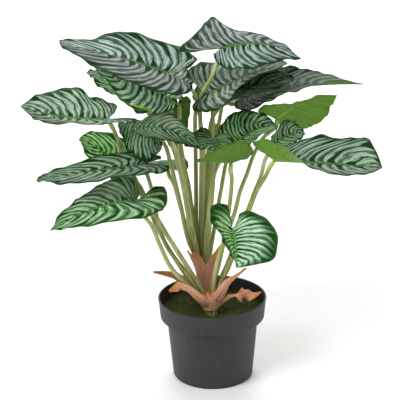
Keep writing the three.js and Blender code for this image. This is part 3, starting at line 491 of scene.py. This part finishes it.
# Side veins, the quilting between them, and the ripples of the margin
VEINS = 8
FAN_SHARE = 0.2
VEIN_LEAN = 0.22
LEAN_CURVE = 1.6
LEAN_FADE = 0.4
VEIN_WANDER = 0.012
WANDER_TURNS = 9
QUILT_DEPTH = 0.8
QUILT_LEVEL = 0.4
QUILT_START = 0.3
RIPPLE = 1.1
RIPPLE_COUNT = 6.3
FINE_RIPPLE = 0.66
FINE_RIPPLE_COUNT = 11.7
CALM_RIB = 0.12
CALM_END = 0.08
SEED_STEP = 1.7

# A blade's colours, in their green, silvery and greyish kinds; greyish is partly its own, partly a painted
# sheen
BAND_COLOURS = [(0.23, 0.38, 0.17), (0.37, 0.47, 0.43), (0.30, 0.305, 0.30)]
GROUND_COLOURS = [(0.038, 0.12, 0.02), (0.086, 0.15, 0.108), (0.09, 0.092, 0.087)]
VEIN_COLOURS = [(0.005, 0.035, 0.003), (0.007, 0.027, 0.01), (0.022, 0.026, 0.022)]
MARGIN_COLOUR = (0.022, 0.075, 0.01)
MIDRIB_COLOUR = (0.06, 0.165, 0.022)
# The underside's vein and band colours: light green, made lighter as painted light shining through the
# blade
UNDER_VEIN_GREEN_AND_GLOW = (0.125, 0.265, 0.033)
UNDER_BAND_GREEN_AND_GLOW = (0.155, 0.31, 0.05)
UNDER_RIB_COLOUR = (0.24, 0.36, 0.08)


class Blade:
    """A blade's surface: points by row, 0 at the stalk and 1 at the tip, and by across, from -1 at the
    right edge past 0 on the midrib to 1 at the left edge."""

    def __init__(self, base, tip, width, arch=0, sway=0, roll=0, fold=(0, 0), fold_tip=None,
                 lobe=(1, 1), lip=(0, 0), lift=(0, 0), edge=(None, None)):
        self.base = np.array(base, float)
        axis = np.array(tip, float) - self.base
        self.length = np.linalg.norm(axis)
        self.axis = unit(axis)
        up = unit(np.array([0, 0, 1]) - self.axis * self.axis[2])
        left = np.cross(up, self.axis)
        self.up = rotated(up, self.axis, math.radians(roll))
        self.left = rotated(left, self.axis, math.radians(roll))
        self.arch, self.sway = arch, sway
        self.width, self.fold, self.fold_tip = width, fold, fold_tip or fold
        self.lip, self.lift = lip, lift
        self.edges = [self.edge(*side) for side in zip(edge, width, lobe)]

    def edge(self, own, width, lobe):
        """A half's edge in millimetres: its own one, or else the usual one."""
        if own:
            return np.array([(0, 0), *own], float)
        return np.array([(share * self.length * (lobe if share < 0 else 1), out * width)
                         for share, out in USUAL_EDGE])

    def midrib(self, share):
        """The midrib's points, headings, left sides and upper sides at shares of its length."""
        u = np.clip(share, 0, 1)[..., None]
        bow, slope = 4 * u * (1 - u), 4 * (1 - 2 * u)
        along, bend = self.axis * self.length, self.up * self.arch + self.left * self.sway
        point = self.base + along * u + bend * bow
        ahead = unit(along + bend * slope)
        aside = unit(self.left - ahead * dot(ahead, self.left))
        above = np.cross(ahead, aside)
        return point + ahead * (share[..., None] - u) * self.length, ahead, aside, above

    def grid(self, rows, across):
        """The surface's points for arrays of rows and of places across."""
        row = rows[:, None] + np.zeros(len(across))
        across = across + np.zeros((len(rows), 1))
        w = np.abs(across)
        is_left = across >= 0

        def of(pair):
            return np.where(is_left, pair[0], pair[1])

        left, right = (spline(edge, row) for edge in self.edges)
        edge = np.where(is_left[..., None], left, right)
        width = of(self.width)
        rib_share = row**VEIN_SWEEP
        share = rib_share + (edge[..., 0] / self.length - rib_share) * w**LOBE_SWEEP
        reach = edge[..., 1] * w
        out, rise = np.zeros_like(reach), np.zeros_like(reach)
        for step in range(ARC_STEPS):
            at = reach / width * (step + 0.5) / ARC_STEPS
            turn = of(self.lip) * np.maximum(0, (at - LIP_START) / (1 - LIP_START))
            angle = np.radians(of(self.fold) + (of(self.fold_tip) - of(self.fold)) * row + turn)
            out += np.cos(angle) * reach / ARC_STEPS
            rise += np.sin(angle) * reach / ARC_STEPS
        fade = np.minimum(1, WAVE_FADE * row * (1 - row))
        wave = WAVE_HEIGHT * np.sin(2 * np.pi * WAVE_COUNT * row) * w * w * fade
        lobe_length = of([max(1, -edge[:, 0].min()) for edge in self.edges])
        raised = of(self.lift) * np.maximum(0, -share * self.length / lobe_length) ** LIFT_CURVE
        point, _, aside, above = self.midrib(share)
        side = np.where(is_left, 1, -1) * out
        height = rise + wave + raised
        return point + aside * side[..., None] + above * height[..., None]


def grid_normals(grid):
    """The upper side's directions at a grid whose rows go ahead and whose columns go left."""
    normals = np.cross(np.gradient(grid, axis=0), np.gradient(grid, axis=1))
    for end, inner in ((0, 1), (-1, -2)):
        if np.linalg.norm(grid[end] - grid[end, 0], axis=1).max() < SAME_PLACE:
            normals[end] = normals[inner].sum(0)
    return unit(normals)


def sheet_faces(rows, columns, pointed):
    """Faces of a closed sheet: the upper points come first, then the lower ones. A pointed sheet has
    a single point for its first row, and one for its last."""
    number = np.arange(rows * columns).reshape(rows, columns)
    if pointed:
        number[[0, -1]] = number[[0, -1], :1]
    upper = np.stack([number[:-1, :-1], number[1:, :-1], number[1:, 1:], number[:-1, 1:]], -1)
    upper = upper.reshape(-1, 4)
    low = rows * columns
    borders = (number[:, 0], number[::-1, -1], number[0, ::-1], number[-1])
    walls = [np.stack([line[:-1], line[:-1] + low, line[1:] + low, line[1:]], -1) for line in borders]
    return closed_faces(np.vstack([upper, upper[:, ::-1] + low, *walls]).tolist())


def vein_place(row, w):
    """The side vein that each point lies on: the veins fan out from the stalk and sweep to the tip."""
    from_rib = FAN_SHARE + (1 - FAN_SHARE) * row**2
    near_rib = (1 - w) ** 2
    lean = VEIN_LEAN * w**LEAN_CURVE * (1 - LEAN_FADE * row)
    return row * (1 - near_rib) + from_rib * near_rib - lean


def make_blade(name, material):
    blade = Blade(**BLADES[name])
    seed = int(name[-2:]) * SEED_STEP
    rows = np.linspace(0, 1, BLADE_ROWS + 1)
    across = np.linspace(-1, 1, 2 * HALF_COLUMNS + 1)
    grid = blade.grid(rows, across)
    normals = grid_normals(grid)
    row, w, side = rows[:, None], np.abs(across)[None, :], np.sign(across)[None, :]
    inner = smooth(0, CALM_RIB, w) * smooth(0, CALM_END, row) * smooth(0, CALM_END, 1 - row)
    place = vein_place(row, w) + VEIN_WANDER * np.sin(WANDER_TURNS * row + seed + side)
    place += 0.5 * (side > 0) / VEINS
    vein = np.abs(2 * ((VEINS * place) % 1) - 1)
    quilt = QUILT_DEPTH * (QUILT_LEVEL - smooth(QUILT_START, 1, vein)) * inner * (1 - w**4)
    ripple = RIPPLE * np.sin(2 * np.pi * RIPPLE_COUNT * row + seed + side) * w**4 * inner
    ripple += FINE_RIPPLE * np.sin(2 * np.pi * FINE_RIPPLE_COUNT * row - 2 * seed + side) * w**8 * inner
    channel = -CHANNEL_DEPTH * np.exp(-((w / CHANNEL_WIDTH) ** 2)) * (1 - row)
    grid = grid + normals * (quilt + ripple + channel)[..., None]
    half = (EDGE_THICKNESS + (BLADE_THICKNESS - EDGE_THICKNESS) * (1 - w**3)) / 2 + 0 * row
    rib = RIB_DEPTH * np.exp(-((w / RIB_WIDTH) ** 2)) * (1 - RIB_TAPER * row)
    top = grid + normals * half[..., None]
    bottom = grid - normals * (half + rib)[..., None]
    full = np.ones_like(w) * np.ones_like(row)
    left = (side + 1) / 2 * full
    values = {"vein": place, "across": w * full, "seed": seed * full}
    for key, tint in {**PLAIN_TINT, **TINTS.get(name, {})}.items():
        of_left, of_right = np.broadcast_to(tint, 2)
        values[key] = of_left * left + of_right * (1 - left)
    attributes = {key: np.stack([value] * 2) for key, value in values.items()}
    attributes["under"] = np.stack([0 * full, full])
    points = np.stack([top, bottom]).reshape(-1, 3)
    faces = sheet_faces(len(rows), len(across), pointed=True)
    dress(add_mesh(name.replace("leaf", "blade"), points, faces, attributes), material, name)
    return blade


def blade_material():
    """Silvery bands between dark side veins that fan out from the midrib, with a dark margin; the
    underside is plain light green, made lighter as painted light shining through. Broad clouds of
    painted gloss, a painted grey sheen and painted shade are laid over the colours."""
    paint = Paint("blade", 0.03)
    vein, w, under, seed = paint.values("vein", "across", "under", "seed")
    silver, grey_and_sheen, painted_shade, band = paint.values("silver", "grey_and_sheen", "painted_shade", "band")
    speck = paint.noise(300, 2)
    cloud = paint.noise(26, 3)

    def along_veins(across_scale, along_scale, detail):
        """Noise drawn out along the side veins."""
        vector = paint.vector(paint.times(vein, across_scale), paint.times(w, along_scale), seed)
        return paint.noise(1, detail, vector)

    wander = along_veins(7, 2.5, 2)
    weight = along_veins(24, 1.6, 1)
    streak = along_veins(120, 4, 2)
    phase = paint.math("MULTIPLY_ADD", vein, VEINS, paint.sway(wander, 0.6))

    def bars(count):
        """0 to 1 and back, so many times from vein to vein."""
        part = paint.math("FRACT", paint.times(phase, count))
        return paint.math("ABSOLUTE", paint.span(part, -1, 1))

    # a main vein is broad at the midrib and at the margin, with a thinner one midway to the next
    at_rib = paint.times(paint.step(0.30, 0, w), 0.38)
    at_rim = paint.times(paint.step(0.72, 1, w), 0.45)
    edge = paint.plus(paint.minus(0.86, paint.plus(at_rib, at_rim)), paint.sway(weight, -0.6))
    between = bars(2)
    main = paint.step(paint.minus(edge, 0.10), paint.plus(edge, 0.10), bars(1))
    second = paint.times(paint.step(0.76, 0.96, between), paint.step(0.25, 0.55, weight))
    dark = paint.math("MAXIMUM", main, paint.times(second, 0.45))
    # the tone is highest in a band's core, fine veins and streaks break it up, and broad clouds of painted
    # gloss lighten and darken it
    core = paint.step(paint.plus(edge, 0.15), 0.1, between)
    fine = paint.step(0.40, 0.90, bars(6))
    tone = paint.minus(paint.span(core, 0.42, 1.07), paint.times(fine, 0.25))
    tone = paint.plus(tone, paint.sway(streak, 1.8))
    tone = paint.plus(tone, paint.sway(cloud, 0.9))
    tone = paint.times(tone, paint.minus(1, paint.times(dark, 0.9)))
    # on a young blade the bands fade out towards the lobes and the margin
    faded = paint.step(band, 1, w)
    tone = paint.times(tone, paint.span(faded, 1, 0.25))

    # the greyish kind mixes in the blade's own grey and a painted grey sheen
    light, middle, deep = (
        paint.mix(grey_and_sheen, paint.mix(silver, green, silvery), greyish)
        for green, silvery, greyish in (BAND_COLOURS, GROUND_COLOURS, VEIN_COLOURS))
    colour = paint.mix(paint.step(0, 0.6, tone), deep, middle)
    colour = paint.mix(paint.step(0.50, 1.15, tone), colour, light)
    frayed = paint.plus(w, paint.sway(streak, 0.14))
    colour = paint.mix(paint.step(0.92, 1, frayed), colour, MARGIN_COLOUR)
    colour = paint.mix(paint.step(0.055, 0.02, w), colour, MIDRIB_COLOUR)
    # the underside: light green, lightened as painted light shining through, with the top's bands faintly
    # showing
    underside_and_glow = paint.mix(paint.step(0.1, 0.8, tone), UNDER_VEIN_GREEN_AND_GLOW, UNDER_BAND_GREEN_AND_GLOW)
    underside_and_glow = paint.mix(paint.step(0.09, 0.03, w), underside_and_glow, UNDER_RIB_COLOUR)
    colour = paint.mix(under, colour, underside_and_glow)
    # painted shade and painted light: each half's whole colour, top and underside, darkened or lightened
    painted_brightness = paint.minus(1, painted_shade)
    colour = paint.node("VectorMath", {0: colour, "Scale": painted_brightness}, operation="SCALE").outputs[0]
    roughness = paint.span(speck, 0.40, 0.54)
    height = paint.math("MULTIPLY_ADD", streak, 0.8, paint.times(speck, 0.3))
    return paint.finish(colour, roughness, height, 0.0005)


# Stalks

STALK_STEP = 4
STALK_SIDES = 14
STALK_RIBS = 7
STALK_RIB_HEIGHT = 0.05
STALK_FOOT_GIRTH = 1.12
STALK_TAPER = 0.22
STALK_END_GIRTH = 0.75
STALK_LINE_POINTS = 300
START_SIDE = (0, 1, 0.2)
ROOT_DEPTH = 6
END_DEPTH = 1.2
KNOB_LENGTH = 22
KNOB_GROWTH = 0.16
KNOB_FULL = 0.6
KNOB_PALE = 0.4

# The stub of a shoot, under its stalks
STUB_ROWS = 14
STUB_SIDES = 24
STUB_RIBS = 6
STUB_RIB_HEIGHT = 0.04
STUB_TAPER = 0.25
STUB_TAPER_START = 0.6


def tube(points, radii, sides, ribs, rib_height):
    """A closed tube along a line, as points, faces, and shares along and angles around it."""
    ahead = unit(np.gradient(points, axis=0))
    side = unit(np.cross(ahead[0], START_SIDE))
    sides_of = []
    for direction in ahead:
        side = unit(side - direction * (side @ direction))
        sides_of.append(side)
    across = np.array(sides_of)
    over = np.cross(ahead, across)
    angle = np.arange(sides) / sides * 2 * np.pi
    radius = radii[:, None] * (1 + rib_height * np.cos(ribs * angle))[None, :]
    ring = points[:, None] + radius[..., None] * (
        across[:, None] * np.cos(angle)[None, :, None] + over[:, None] * np.sin(angle)[None, :, None])
    count = len(points)
    foot, head = count * sides, count * sides + 1
    faces = ring_faces(np.arange(foot).reshape(count, sides))
    last = foot - sides
    for k in range(sides):
        after = (k + 1) % sides
        faces += [[after, k, foot], [last + k, last + after, head]]
    points = np.vstack([ring.reshape(-1, 3), points[0], points[-1]])
    share = np.append(np.repeat(np.linspace(0, 1, count), sides), (0, 1))
    around = np.append(np.tile(angle, count), (0, 0))
    return points, faces, share, around


def stalk_line(shoot, stalk, blade):
    """The way a stalk takes: out of its shoot, by its own points, up to the midrib and on under it."""
    centre = np.array((shoot["x"], shoot["y"], shoot["fork"] - ROOT_DEPTH), float)
    heading = (stalk["via"][0] - centre) * (1, 1, 0)
    root = centre + heading * min(1, STALK_ROOT_SPREAD / np.linalg.norm(heading))
    seat, ahead, _, above = (v[0] for v in blade.midrib(np.zeros(1)))
    knee = seat - above * stalk.get("below", KNEE_BELOW) - ahead * stalk.get("behind", KNEE_BEHIND)
    end = seat + ahead * STALK_SEAT - above * END_DEPTH
    line = curve([root, *stalk["via"], knee, end], np.linspace(0, 1, STALK_LINE_POINTS))
    return evenly(line, STALK_STEP)


def make_stalk(line, rng):
    """A ribbed stalk that tapers up to a thicker knob, as points, faces and attributes."""
    share = np.linspace(0, 1, len(line))
    to_end = (1 - share) * (len(line) - 1) * STALK_STEP
    radii = STALK_RADIUS * (STALK_FOOT_GIRTH - STALK_TAPER * share)
    radii *= 1 + KNOB_GROWTH * smooth(KNOB_LENGTH, KNOB_FULL * KNOB_LENGTH, to_end)
    radii[-1] *= STALK_END_GIRTH
    points, faces, share, around = tube(line, radii, STALK_SIDES, STALK_RIBS, STALK_RIB_HEIGHT)
    to_end = (1 - share) * (len(line) - 1) * STALK_STEP
    phases = rng.uniform(0, 2 * np.pi, 3)
    streak = sum(np.sin(k * around + p) for k, p in zip((1, 3, 5), phases)) / 3
    knob = smooth(KNOB_LENGTH, KNOB_PALE * KNOB_LENGTH, to_end)
    tone = np.full(len(points), rng.uniform(0, 1))
    return points, faces, dict(share=share, streak=streak, knob=knob, tone=tone)


def make_stub(shoot):
    share = np.linspace(0, 1, STUB_ROWS)
    heights = np.linspace(shoot["root"], shoot["top"], STUB_ROWS)
    line = np.array([(shoot["x"], shoot["y"], height) for height in heights])
    radii = shoot["radius"] * (1 - STUB_TAPER * smooth(STUB_TAPER_START, 1, share) ** 2)
    points, faces, _, around = tube(line, radii, STUB_SIDES, STUB_RIBS, STUB_RIB_HEIGHT)
    zero = 0 * around
    return points, faces, dict(share=zero, streak=np.sin(3 * around), knob=zero, tone=zero)


def make_stalks(key, blades, material):
    shoot = SHOOTS[key]
    rng = np.random.default_rng(len(key))
    parts = []
    for name, stalk in shoot["stalks"].items():
        parts.append(make_stalk(stalk_line(shoot, stalk, blades[name]), rng))
    parts.append(make_stub(shoot))
    dress(add_mesh(key + "_stalks", *join_parts(parts)), material, key + "_stems")


def stalk_material():
    """Yellowish green with lengthwise streaks, darker and browner near the foot, lighter at the knob."""
    paint = Paint("stalk", 0.4)
    share, streak, knob, tone = paint.values("share", "streak", "knob", "tone")
    long_grain = paint.noise(90, 3, paint.place((1, 1, 0.08)))
    green = paint.mix(tone, (0.30, 0.34, 0.09), (0.43, 0.46, 0.17))
    olive = paint.mix(tone, (0.20, 0.20, 0.045), (0.27, 0.26, 0.07))
    colour = paint.mix(paint.step(0.45, 0, share), green, olive)
    colour = paint.mix(paint.step(0.1, 0.9, streak), colour, (0.14, 0.15, 0.03))
    colour = paint.mix(paint.step(0.45, 0.75, long_grain), colour, (0.60, 0.60, 0.30))
    colour = paint.mix(knob, colour, (0.42, 0.52, 0.12))
    return paint.finish(colour, paint.span(long_grain, 0.38, 0.58), long_grain, 0.0005)


# Sheaths

SHEATH_THICKNESS = 0.7
SHEATH_ROWS = 48
SHEATH_COLUMNS = 20
SMOOTH_FOOT = 0.2
TEAR_FROM = 0.7
RAGGED = 0.06
CREASE = 0.45
FINE_CREASE = 0.3
CRUMPLE = 0.5


def along(values, v):
    foot, middle, tip = values
    return foot * (1 - v) ** 2 + 2 * middle * v * (1 - v) + tip * v**2


def make_sheath(name, material):
    sheath = SHEATHS[name]
    shoot = SHOOTS[name.split("_")[1]]
    rng = np.random.default_rng(sum(map(ord, name)))
    v = np.linspace(0, 1, SHEATH_ROWS + 1)[:, None]
    u = np.linspace(-1, 1, SHEATH_COLUMNS + 1)[None, :]
    centre = curve(sheath["path"], v[:, 0])
    ahead = unit(np.gradient(centre, axis=0))
    outward = (centre - (shoot["x"], shoot["y"], 0)) * (1, 1, 0)
    outward = unit(outward - ahead * dot(outward, ahead))
    aside = np.cross(ahead, outward)
    cup = np.radians(along(sheath["cup"], v))
    half_width = along(sheath["width"], v)
    phases = rng.uniform(0, 2 * np.pi, 4)
    ragged = 1 + RAGGED * np.abs(u) ** 3 * np.sin(13 * v + phases[0] + 2 * u)
    turn = cup * u
    grid = centre[:, None] + aside[:, None] * (half_width * ragged * np.sin(turn) / cup)[..., None]
    grid = grid - outward[:, None] * (half_width * (1 - np.cos(turn)) / cup)[..., None]
    notches = 0.5 + 0.3 * np.sin(6 * u + phases[1]) + 0.2 * np.sin(15 * u + phases[3])
    torn = sheath["width"][2] * smooth(TEAR_FROM, 1, v) * notches
    grid = grid - ahead[:, None] * torn[..., None]
    normals = grid_normals(grid)
    crease = CREASE * np.sin(11 * u + phases[1] + 2.2 * v) + FINE_CREASE * np.sin(23 * u + phases[2])
    crumple = CRUMPLE * np.sin(9 * v + 4 * u + phases[3]) * v
    grid = grid + normals * ((crease + crumple) * smooth(0, SMOOTH_FOOT, v))[..., None]
    half = SHEATH_THICKNESS / 2
    points = np.stack([grid + normals * half, grid - normals * half]).reshape(-1, 3)
    full = np.ones(grid.shape[:2])
    attributes = {"share": np.stack([v * full] * 2), "grain": np.stack([u * full] * 2)}
    faces = sheet_faces(*full.shape, pointed=False)
    dress(add_mesh(name.replace("sheath", "scale"), points, faces, attributes), material, name)


def sheath_material():
    """Dry reddish brown paper with lengthwise fibres, more orange at the curled tip."""
    paint = Paint("sheath", 0.25)
    share, grain = paint.values("share", "grain")
    blotch = paint.noise(45, 3)
    fibre = paint.noise(9, 4, paint.vector(paint.times(grain, 3), share))
    colour = paint.mix(blotch, (0.55, 0.22, 0.115), (0.84, 0.43, 0.27))
    colour = paint.mix(paint.step(0.45, 0.7, fibre), colour, (0.88, 0.55, 0.37))
    colour = paint.mix(paint.step(0.38, 0.28, fibre), colour, (0.20, 0.07, 0.04))
    colour = paint.mix(paint.step(0.6, 1, share), colour, (0.70, 0.27, 0.08))
    return paint.finish(colour, 0.72, fibre, 0.0006)


# The pot and what fills it

POT_SIDES = 128
FOOT_RING = 10
FOOT_HOLLOW = 1.2
RIM_ROUND = 1.6
RIM_ROUND_INSET = 0.4
CORNER_RADIUS = 1.2
CORNER_STEPS = 4
CORNER_SHARE = 0.45
DRAIN_SIDES = 32
DRAIN_REACH = 2


def turned(profile, sides):
    """A profile of (radius, height), from axis to axis, turned about Z."""
    profile = np.array(profile, float)
    angle = np.arange(sides) / sides * 2 * np.pi
    ring = np.stack([np.outer(profile[:, 0], np.cos(angle)), np.outer(profile[:, 0], np.sin(angle)),
                     np.repeat(profile[:, 1:], sides, 1)], -1)
    number = np.arange(len(profile) * sides).reshape(-1, sides)
    number[[0, -1]] = number[[0, -1], :1]
    return ring.reshape(-1, 3), closed_faces(ring_faces(number))


def rounded(profile):
    """The profile with its corners rounded."""
    points = [np.array(p, float) for p in profile]
    out = [points[0]]
    for before, corner, after in zip(points, points[1:], points[2:]):
        shorter = min(np.linalg.norm(before - corner), np.linalg.norm(after - corner))
        reach = min(CORNER_RADIUS, CORNER_SHARE * shorter)
        start = corner + unit(before - corner) * reach
        end = corner + unit(after - corner) * reach
        for t in np.linspace(0, 1, CORNER_STEPS + 1):
            out.append(start * (1 - t) ** 2 + 2 * corner * t * (1 - t) + end * t**2)
    out.append(points[-1])
    return out


def cut_holes(piece):
    """The drain holes in the pot's floor."""
    low, high = -DRAIN_REACH, FLOOR + DRAIN_REACH
    points, faces = turned([(0, low), (DRAIN_RADIUS, low), (DRAIN_RADIUS, high), (0, high)], DRAIN_SIDES)
    cutters = []
    for i in range(DRAIN_HOLES):
        angle = (i + 0.5) / DRAIN_HOLES * 2 * math.pi
        place = (DRAIN_CIRCLE_RADIUS * math.cos(angle), DRAIN_CIRCLE_RADIUS * math.sin(angle), 0)
        cutters.append((points + place, faces, {}))
    cutter = add_mesh("drain_cutter", *join_parts(cutters))
    cut = piece.modifiers.new("drain", "BOOLEAN")
    cut.operation, cut.solver, cut.object = "DIFFERENCE", "EXACT", cutter
    bpy.context.view_layer.update()
    seen = piece.evaluated_get(bpy.context.evaluated_depsgraph_get())
    mesh = bpy.data.meshes.new_from_object(seen)
    piece.modifiers.clear()
    piece.data = mesh
    bpy.data.objects.remove(cutter)


def make_pot(material):
    collar_foot = POT_HEIGHT - COLLAR_HEIGHT
    hollow = FOOT_RADIUS - FOOT_RING
    profile = [
        (0, FOOT_HOLLOW), (hollow, FOOT_HOLLOW), (hollow + FOOT_BEVEL, 0),
        (FOOT_RADIUS - FOOT_BEVEL, 0), (FOOT_RADIUS, FOOT_BEVEL),
        (NECK_RADIUS, collar_foot - COLLAR_STEP), (COLLAR_FOOT_RADIUS, collar_foot),
        (RIM_RADIUS - RIM_TAPER, POT_HEIGHT - RIM_TAPER_DEPTH), (RIM_RADIUS, POT_HEIGHT - RIM_ROUND),
        (RIM_RADIUS - RIM_ROUND_INSET, POT_HEIGHT), (RIM_RADIUS - RIM_LIP, POT_HEIGHT),
        (COLLAR_FOOT_RADIUS - WALL, collar_foot + STEP_DEPTH),
        (NECK_RADIUS - WALL, collar_foot - COLLAR_STEP), (FOOT_RADIUS - WALL, FLOOR), (0, FLOOR),
    ]
    piece = add_mesh("pot_shell", *turned(rounded(profile), POT_SIDES))
    cut_holes(piece)
    dress(piece, material, "pot")


def pot_material():
    """Dark moulded plastic, matte, with a fine grain and faint marks of its mould and of handling."""
    paint = Paint("pot_plastic", 0.4)
    grain = paint.noise(900, 2)
    cloud = paint.noise(14, 4)
    scuff = paint.noise(60, 5, paint.place((1, 1, 0.12)), 0.65)
    colour = paint.mix(cloud, (0.023, 0.022, 0.024), (0.036, 0.034, 0.037))
    colour = paint.mix(paint.step(0.6, 0.8, scuff), colour, (0.055, 0.055, 0.056))
    return paint.finish(colour, paint.span(cloud, 0.46, 0.66), grain, 0.0003)


def soil_material():
    paint = Paint("soil", 0.2)
    crumb = paint.noise(320, 6, None, 0.7)
    colour = paint.mix(crumb, (0.015, 0.009, 0.006), (0.075, 0.05, 0.033))
    return paint.finish(colour, 0.95, crumb, 0.002)


# Moss

MOSS_RINGS = 44
MOSS_SIDES = 96
MOSS_EDGE_INSET = 0.8
TUFTS = 9000
TUFT_RADIUS = 0.42
TUFT_HEIGHTS = (1.4, 3.4)
TUFT_LEAN = 0.55
TUFT_SINK = 0.4
TUFT_FOOT_PAINTED_LIGHT = 0.3
TUFTS_INSET = 2.5
TUFT_SEED = 12


def moss_height(x, y):
    """Low uneven cushions, as in the part, with finer ones on them."""
    broad = np.sin(x * 0.11 + 1.3) * np.cos(y * 0.13 - 0.6)
    fine = np.sin(x * 0.31 - y * 0.17) * np.cos(y * 0.29 + x * 0.12 + 0.8)
    small = np.sin(x * 0.83 + 0.4 * y) * np.sin(y * 0.91 - 0.3 * x)
    return MOSS_RELIEF * (broad + 0.6 * fine) + 0.5 * small


def make_tufts(radius, surface):
    """Short shoots that stand out of the mat, each a slim pyramid on three corners."""
    rng = np.random.default_rng(TUFT_SEED)
    reach = (radius - TUFTS_INSET) * np.sqrt(rng.uniform(0, 1, TUFTS))
    angle = rng.uniform(0, 2 * np.pi, TUFTS)
    x, y = reach * np.cos(angle), reach * np.sin(angle)
    foot = np.stack([x, y, surface + moss_height(x, y) - TUFT_SINK], 1)
    lean = rng.normal(0, TUFT_LEAN, (TUFTS, 2))
    height = rng.uniform(*TUFT_HEIGHTS, TUFTS)
    tip = foot + np.column_stack([lean * height[:, None], height])
    spin = rng.uniform(0, 2 * np.pi, TUFTS)
    corners = []
    for k in range(3):
        turn = spin + k * 2 * np.pi / 3
        corners.append(foot + TUFT_RADIUS * np.column_stack([np.cos(turn), np.sin(turn), 0 * turn]))
    points = np.stack([*corners, tip], 1).reshape(-1, 3)
    first = 4 * np.arange(TUFTS)
    sides = [np.stack([first + k, first + (k + 1) % 3, first + 3], 1) for k in range(3)]
    base = np.stack([first + 2, first + 1, first], 1)
    # painted shade: each tuft's foot is kept dark and its tip light
    light = np.tile([TUFT_FOOT_PAINTED_LIGHT] * 3 + [1], TUFTS)
    return points, np.vstack([*sides, base]).tolist(), dict(moss_painted_light=light)


def make_moss(material):
    """A cushioned mat with its tufts."""
    radius = COLLAR_FOOT_RADIUS - WALL - GAP
    underside = SOIL_TOP + GAP
    surface = underside + MOSS_THICKNESS
    profile = [(0, underside), (radius, underside), (radius, surface - MOSS_EDGE_DROP)]
    for ring in range(MOSS_RINGS, 0, -1):
        profile.append(((radius - MOSS_EDGE_INSET) * (ring / MOSS_RINGS), surface))
    profile.append((0, surface))
    points, faces = turned(profile, MOSS_SIDES)
    is_top = points[:, 2] > surface - MOSS_EDGE_DROP / 2
    points[is_top, 2] += moss_height(points[is_top, 0], points[is_top, 1])
    # the mat between the tufts takes the full painted shade
    mat = (points, faces, dict(moss_painted_light=np.zeros(len(points))))
    dress(add_mesh("moss_mat", *join_parts([mat, make_tufts(radius, surface)])), material, "moss")


def moss_material():
    paint = Paint("moss", 0.15)
    moss_painted_light = paint.values("moss_painted_light")[0]
    patch = paint.noise(40, 4)
    fleck = paint.noise(420, 3)
    colour = paint.mix(patch, (0.055, 0.07, 0.022), (0.2, 0.23, 0.07))
    colour = paint.mix(paint.step(0.5, 0.8, fleck), colour, (0.20, 0.26, 0.075))
    # painted shade: the mat and the feet of the tufts are darkened towards black, the tips kept lighter
    dark = paint.mix(0.6, colour, (0.008, 0.014, 0.004))
    colour = paint.mix(paint.times(moss_painted_light, 0.6), dark, colour)
    return paint.finish(colour, 0.95, fleck, 0.001)


def make_object():
    blade_paint, stalk_paint, sheath_paint = blade_material(), stalk_material(), sheath_material()
    blades = {name: make_blade(name, blade_paint) for name in BLADES}
    for key in SHOOTS:
        make_stalks(key, blades, stalk_paint)
    for name in SHEATHS:
        make_sheath(name, sheath_paint)
    make_pot(pot_material())
    make_moss(moss_material())
    cover(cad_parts["soil"], soil_material())


# The stage: a pale floor, soft lights, and the camera at the photograph's angle

FLOOR_CORNERS = [(-9000, -6000, 0), (9000, -6000, 0), (9000, 14000, 0), (-9000, 14000, 0)]
FLOOR_COLOURS = [(0.90, 0.90, 0.90), (0.93, 0.93, 0.93)]
SKY_STRENGTH = 0.38
NEARLY_UP = (0, 0.001, 1)

# Round lights, in metres and watts
LIGHTS = dict(
    key=dict(place=(-1.2, -1.2, 2.1), aim=(0, 0, 0.25), size=1.6, power=50),
    fill=dict(place=(1.6, -1.0, 1.2), aim=(0, 0, 0.3), size=1.6, power=5),
    back=dict(place=(0.2, 1.6, 1.9), aim=(0, 0, 0.3), size=1.4, power=9),
    far_floor=dict(place=(0, 3.0, 2.4), aim=(0, 2.4, 0), size=3.0, power=110),
)

CAMERA_PLACE = (-15, -1800, 909)
CAMERA_DOWN = 19.9
CAMERA_ROLL = -0.8
FOCAL_PIXELS = 1419
IMAGE_SIZE = 400
SENSOR = 36
CLIP_END = 50


def add_light(name, place, aim, size, power):
    light = bpy.data.lights.new(name, "AREA")
    light.shape, light.size, light.energy = "DISK", size, power
    back = unit(np.array(place) - np.array(aim))
    right = unit(np.cross(NEARLY_UP, back))
    direction = Matrix((right, np.cross(back, right), back)).transposed().to_4x4()
    add_object(name, light).matrix_world = Matrix.Translation(place) @ direction


def make_floor():
    paint = Paint("floor", 0.1)
    floor = add_mesh("floor", FLOOR_CORNERS, [[0, 1, 2, 3]])
    cover(floor, paint.finish(paint.mix(paint.noise(3, 2), *FLOOR_COLOURS), 0.9))


def make_sky():
    world = bpy.data.worlds.new("studio")
    world.use_nodes = True
    background = world.node_tree.nodes["Background"]
    background.inputs["Color"].default_value = (1, 1, 1, 1)
    background.inputs["Strength"].default_value = SKY_STRENGTH
    bpy.context.scene.world = world


def make_camera():
    data = bpy.data.cameras.new("camera")
    data.sensor_width = SENSOR
    data.lens = SENSOR * FOCAL_PIXELS / IMAGE_SIZE
    data.clip_end = CLIP_END
    camera = add_object("camera", data)
    place = Matrix.Translation([c * MM for c in CAMERA_PLACE])
    pitch = Matrix.Rotation(math.radians(90 - CAMERA_DOWN), 4, "X")
    roll = Matrix.Rotation(math.radians(CAMERA_ROLL), 4, "Z")
    camera.matrix_world = place @ pitch @ roll
    bpy.context.scene.camera = camera
    bpy.context.scene.view_settings.view_transform = "Standard"


make_object()
make_floor()
make_sky()
for name, light in LIGHTS.items():
    add_light(name, **light)
make_camera()
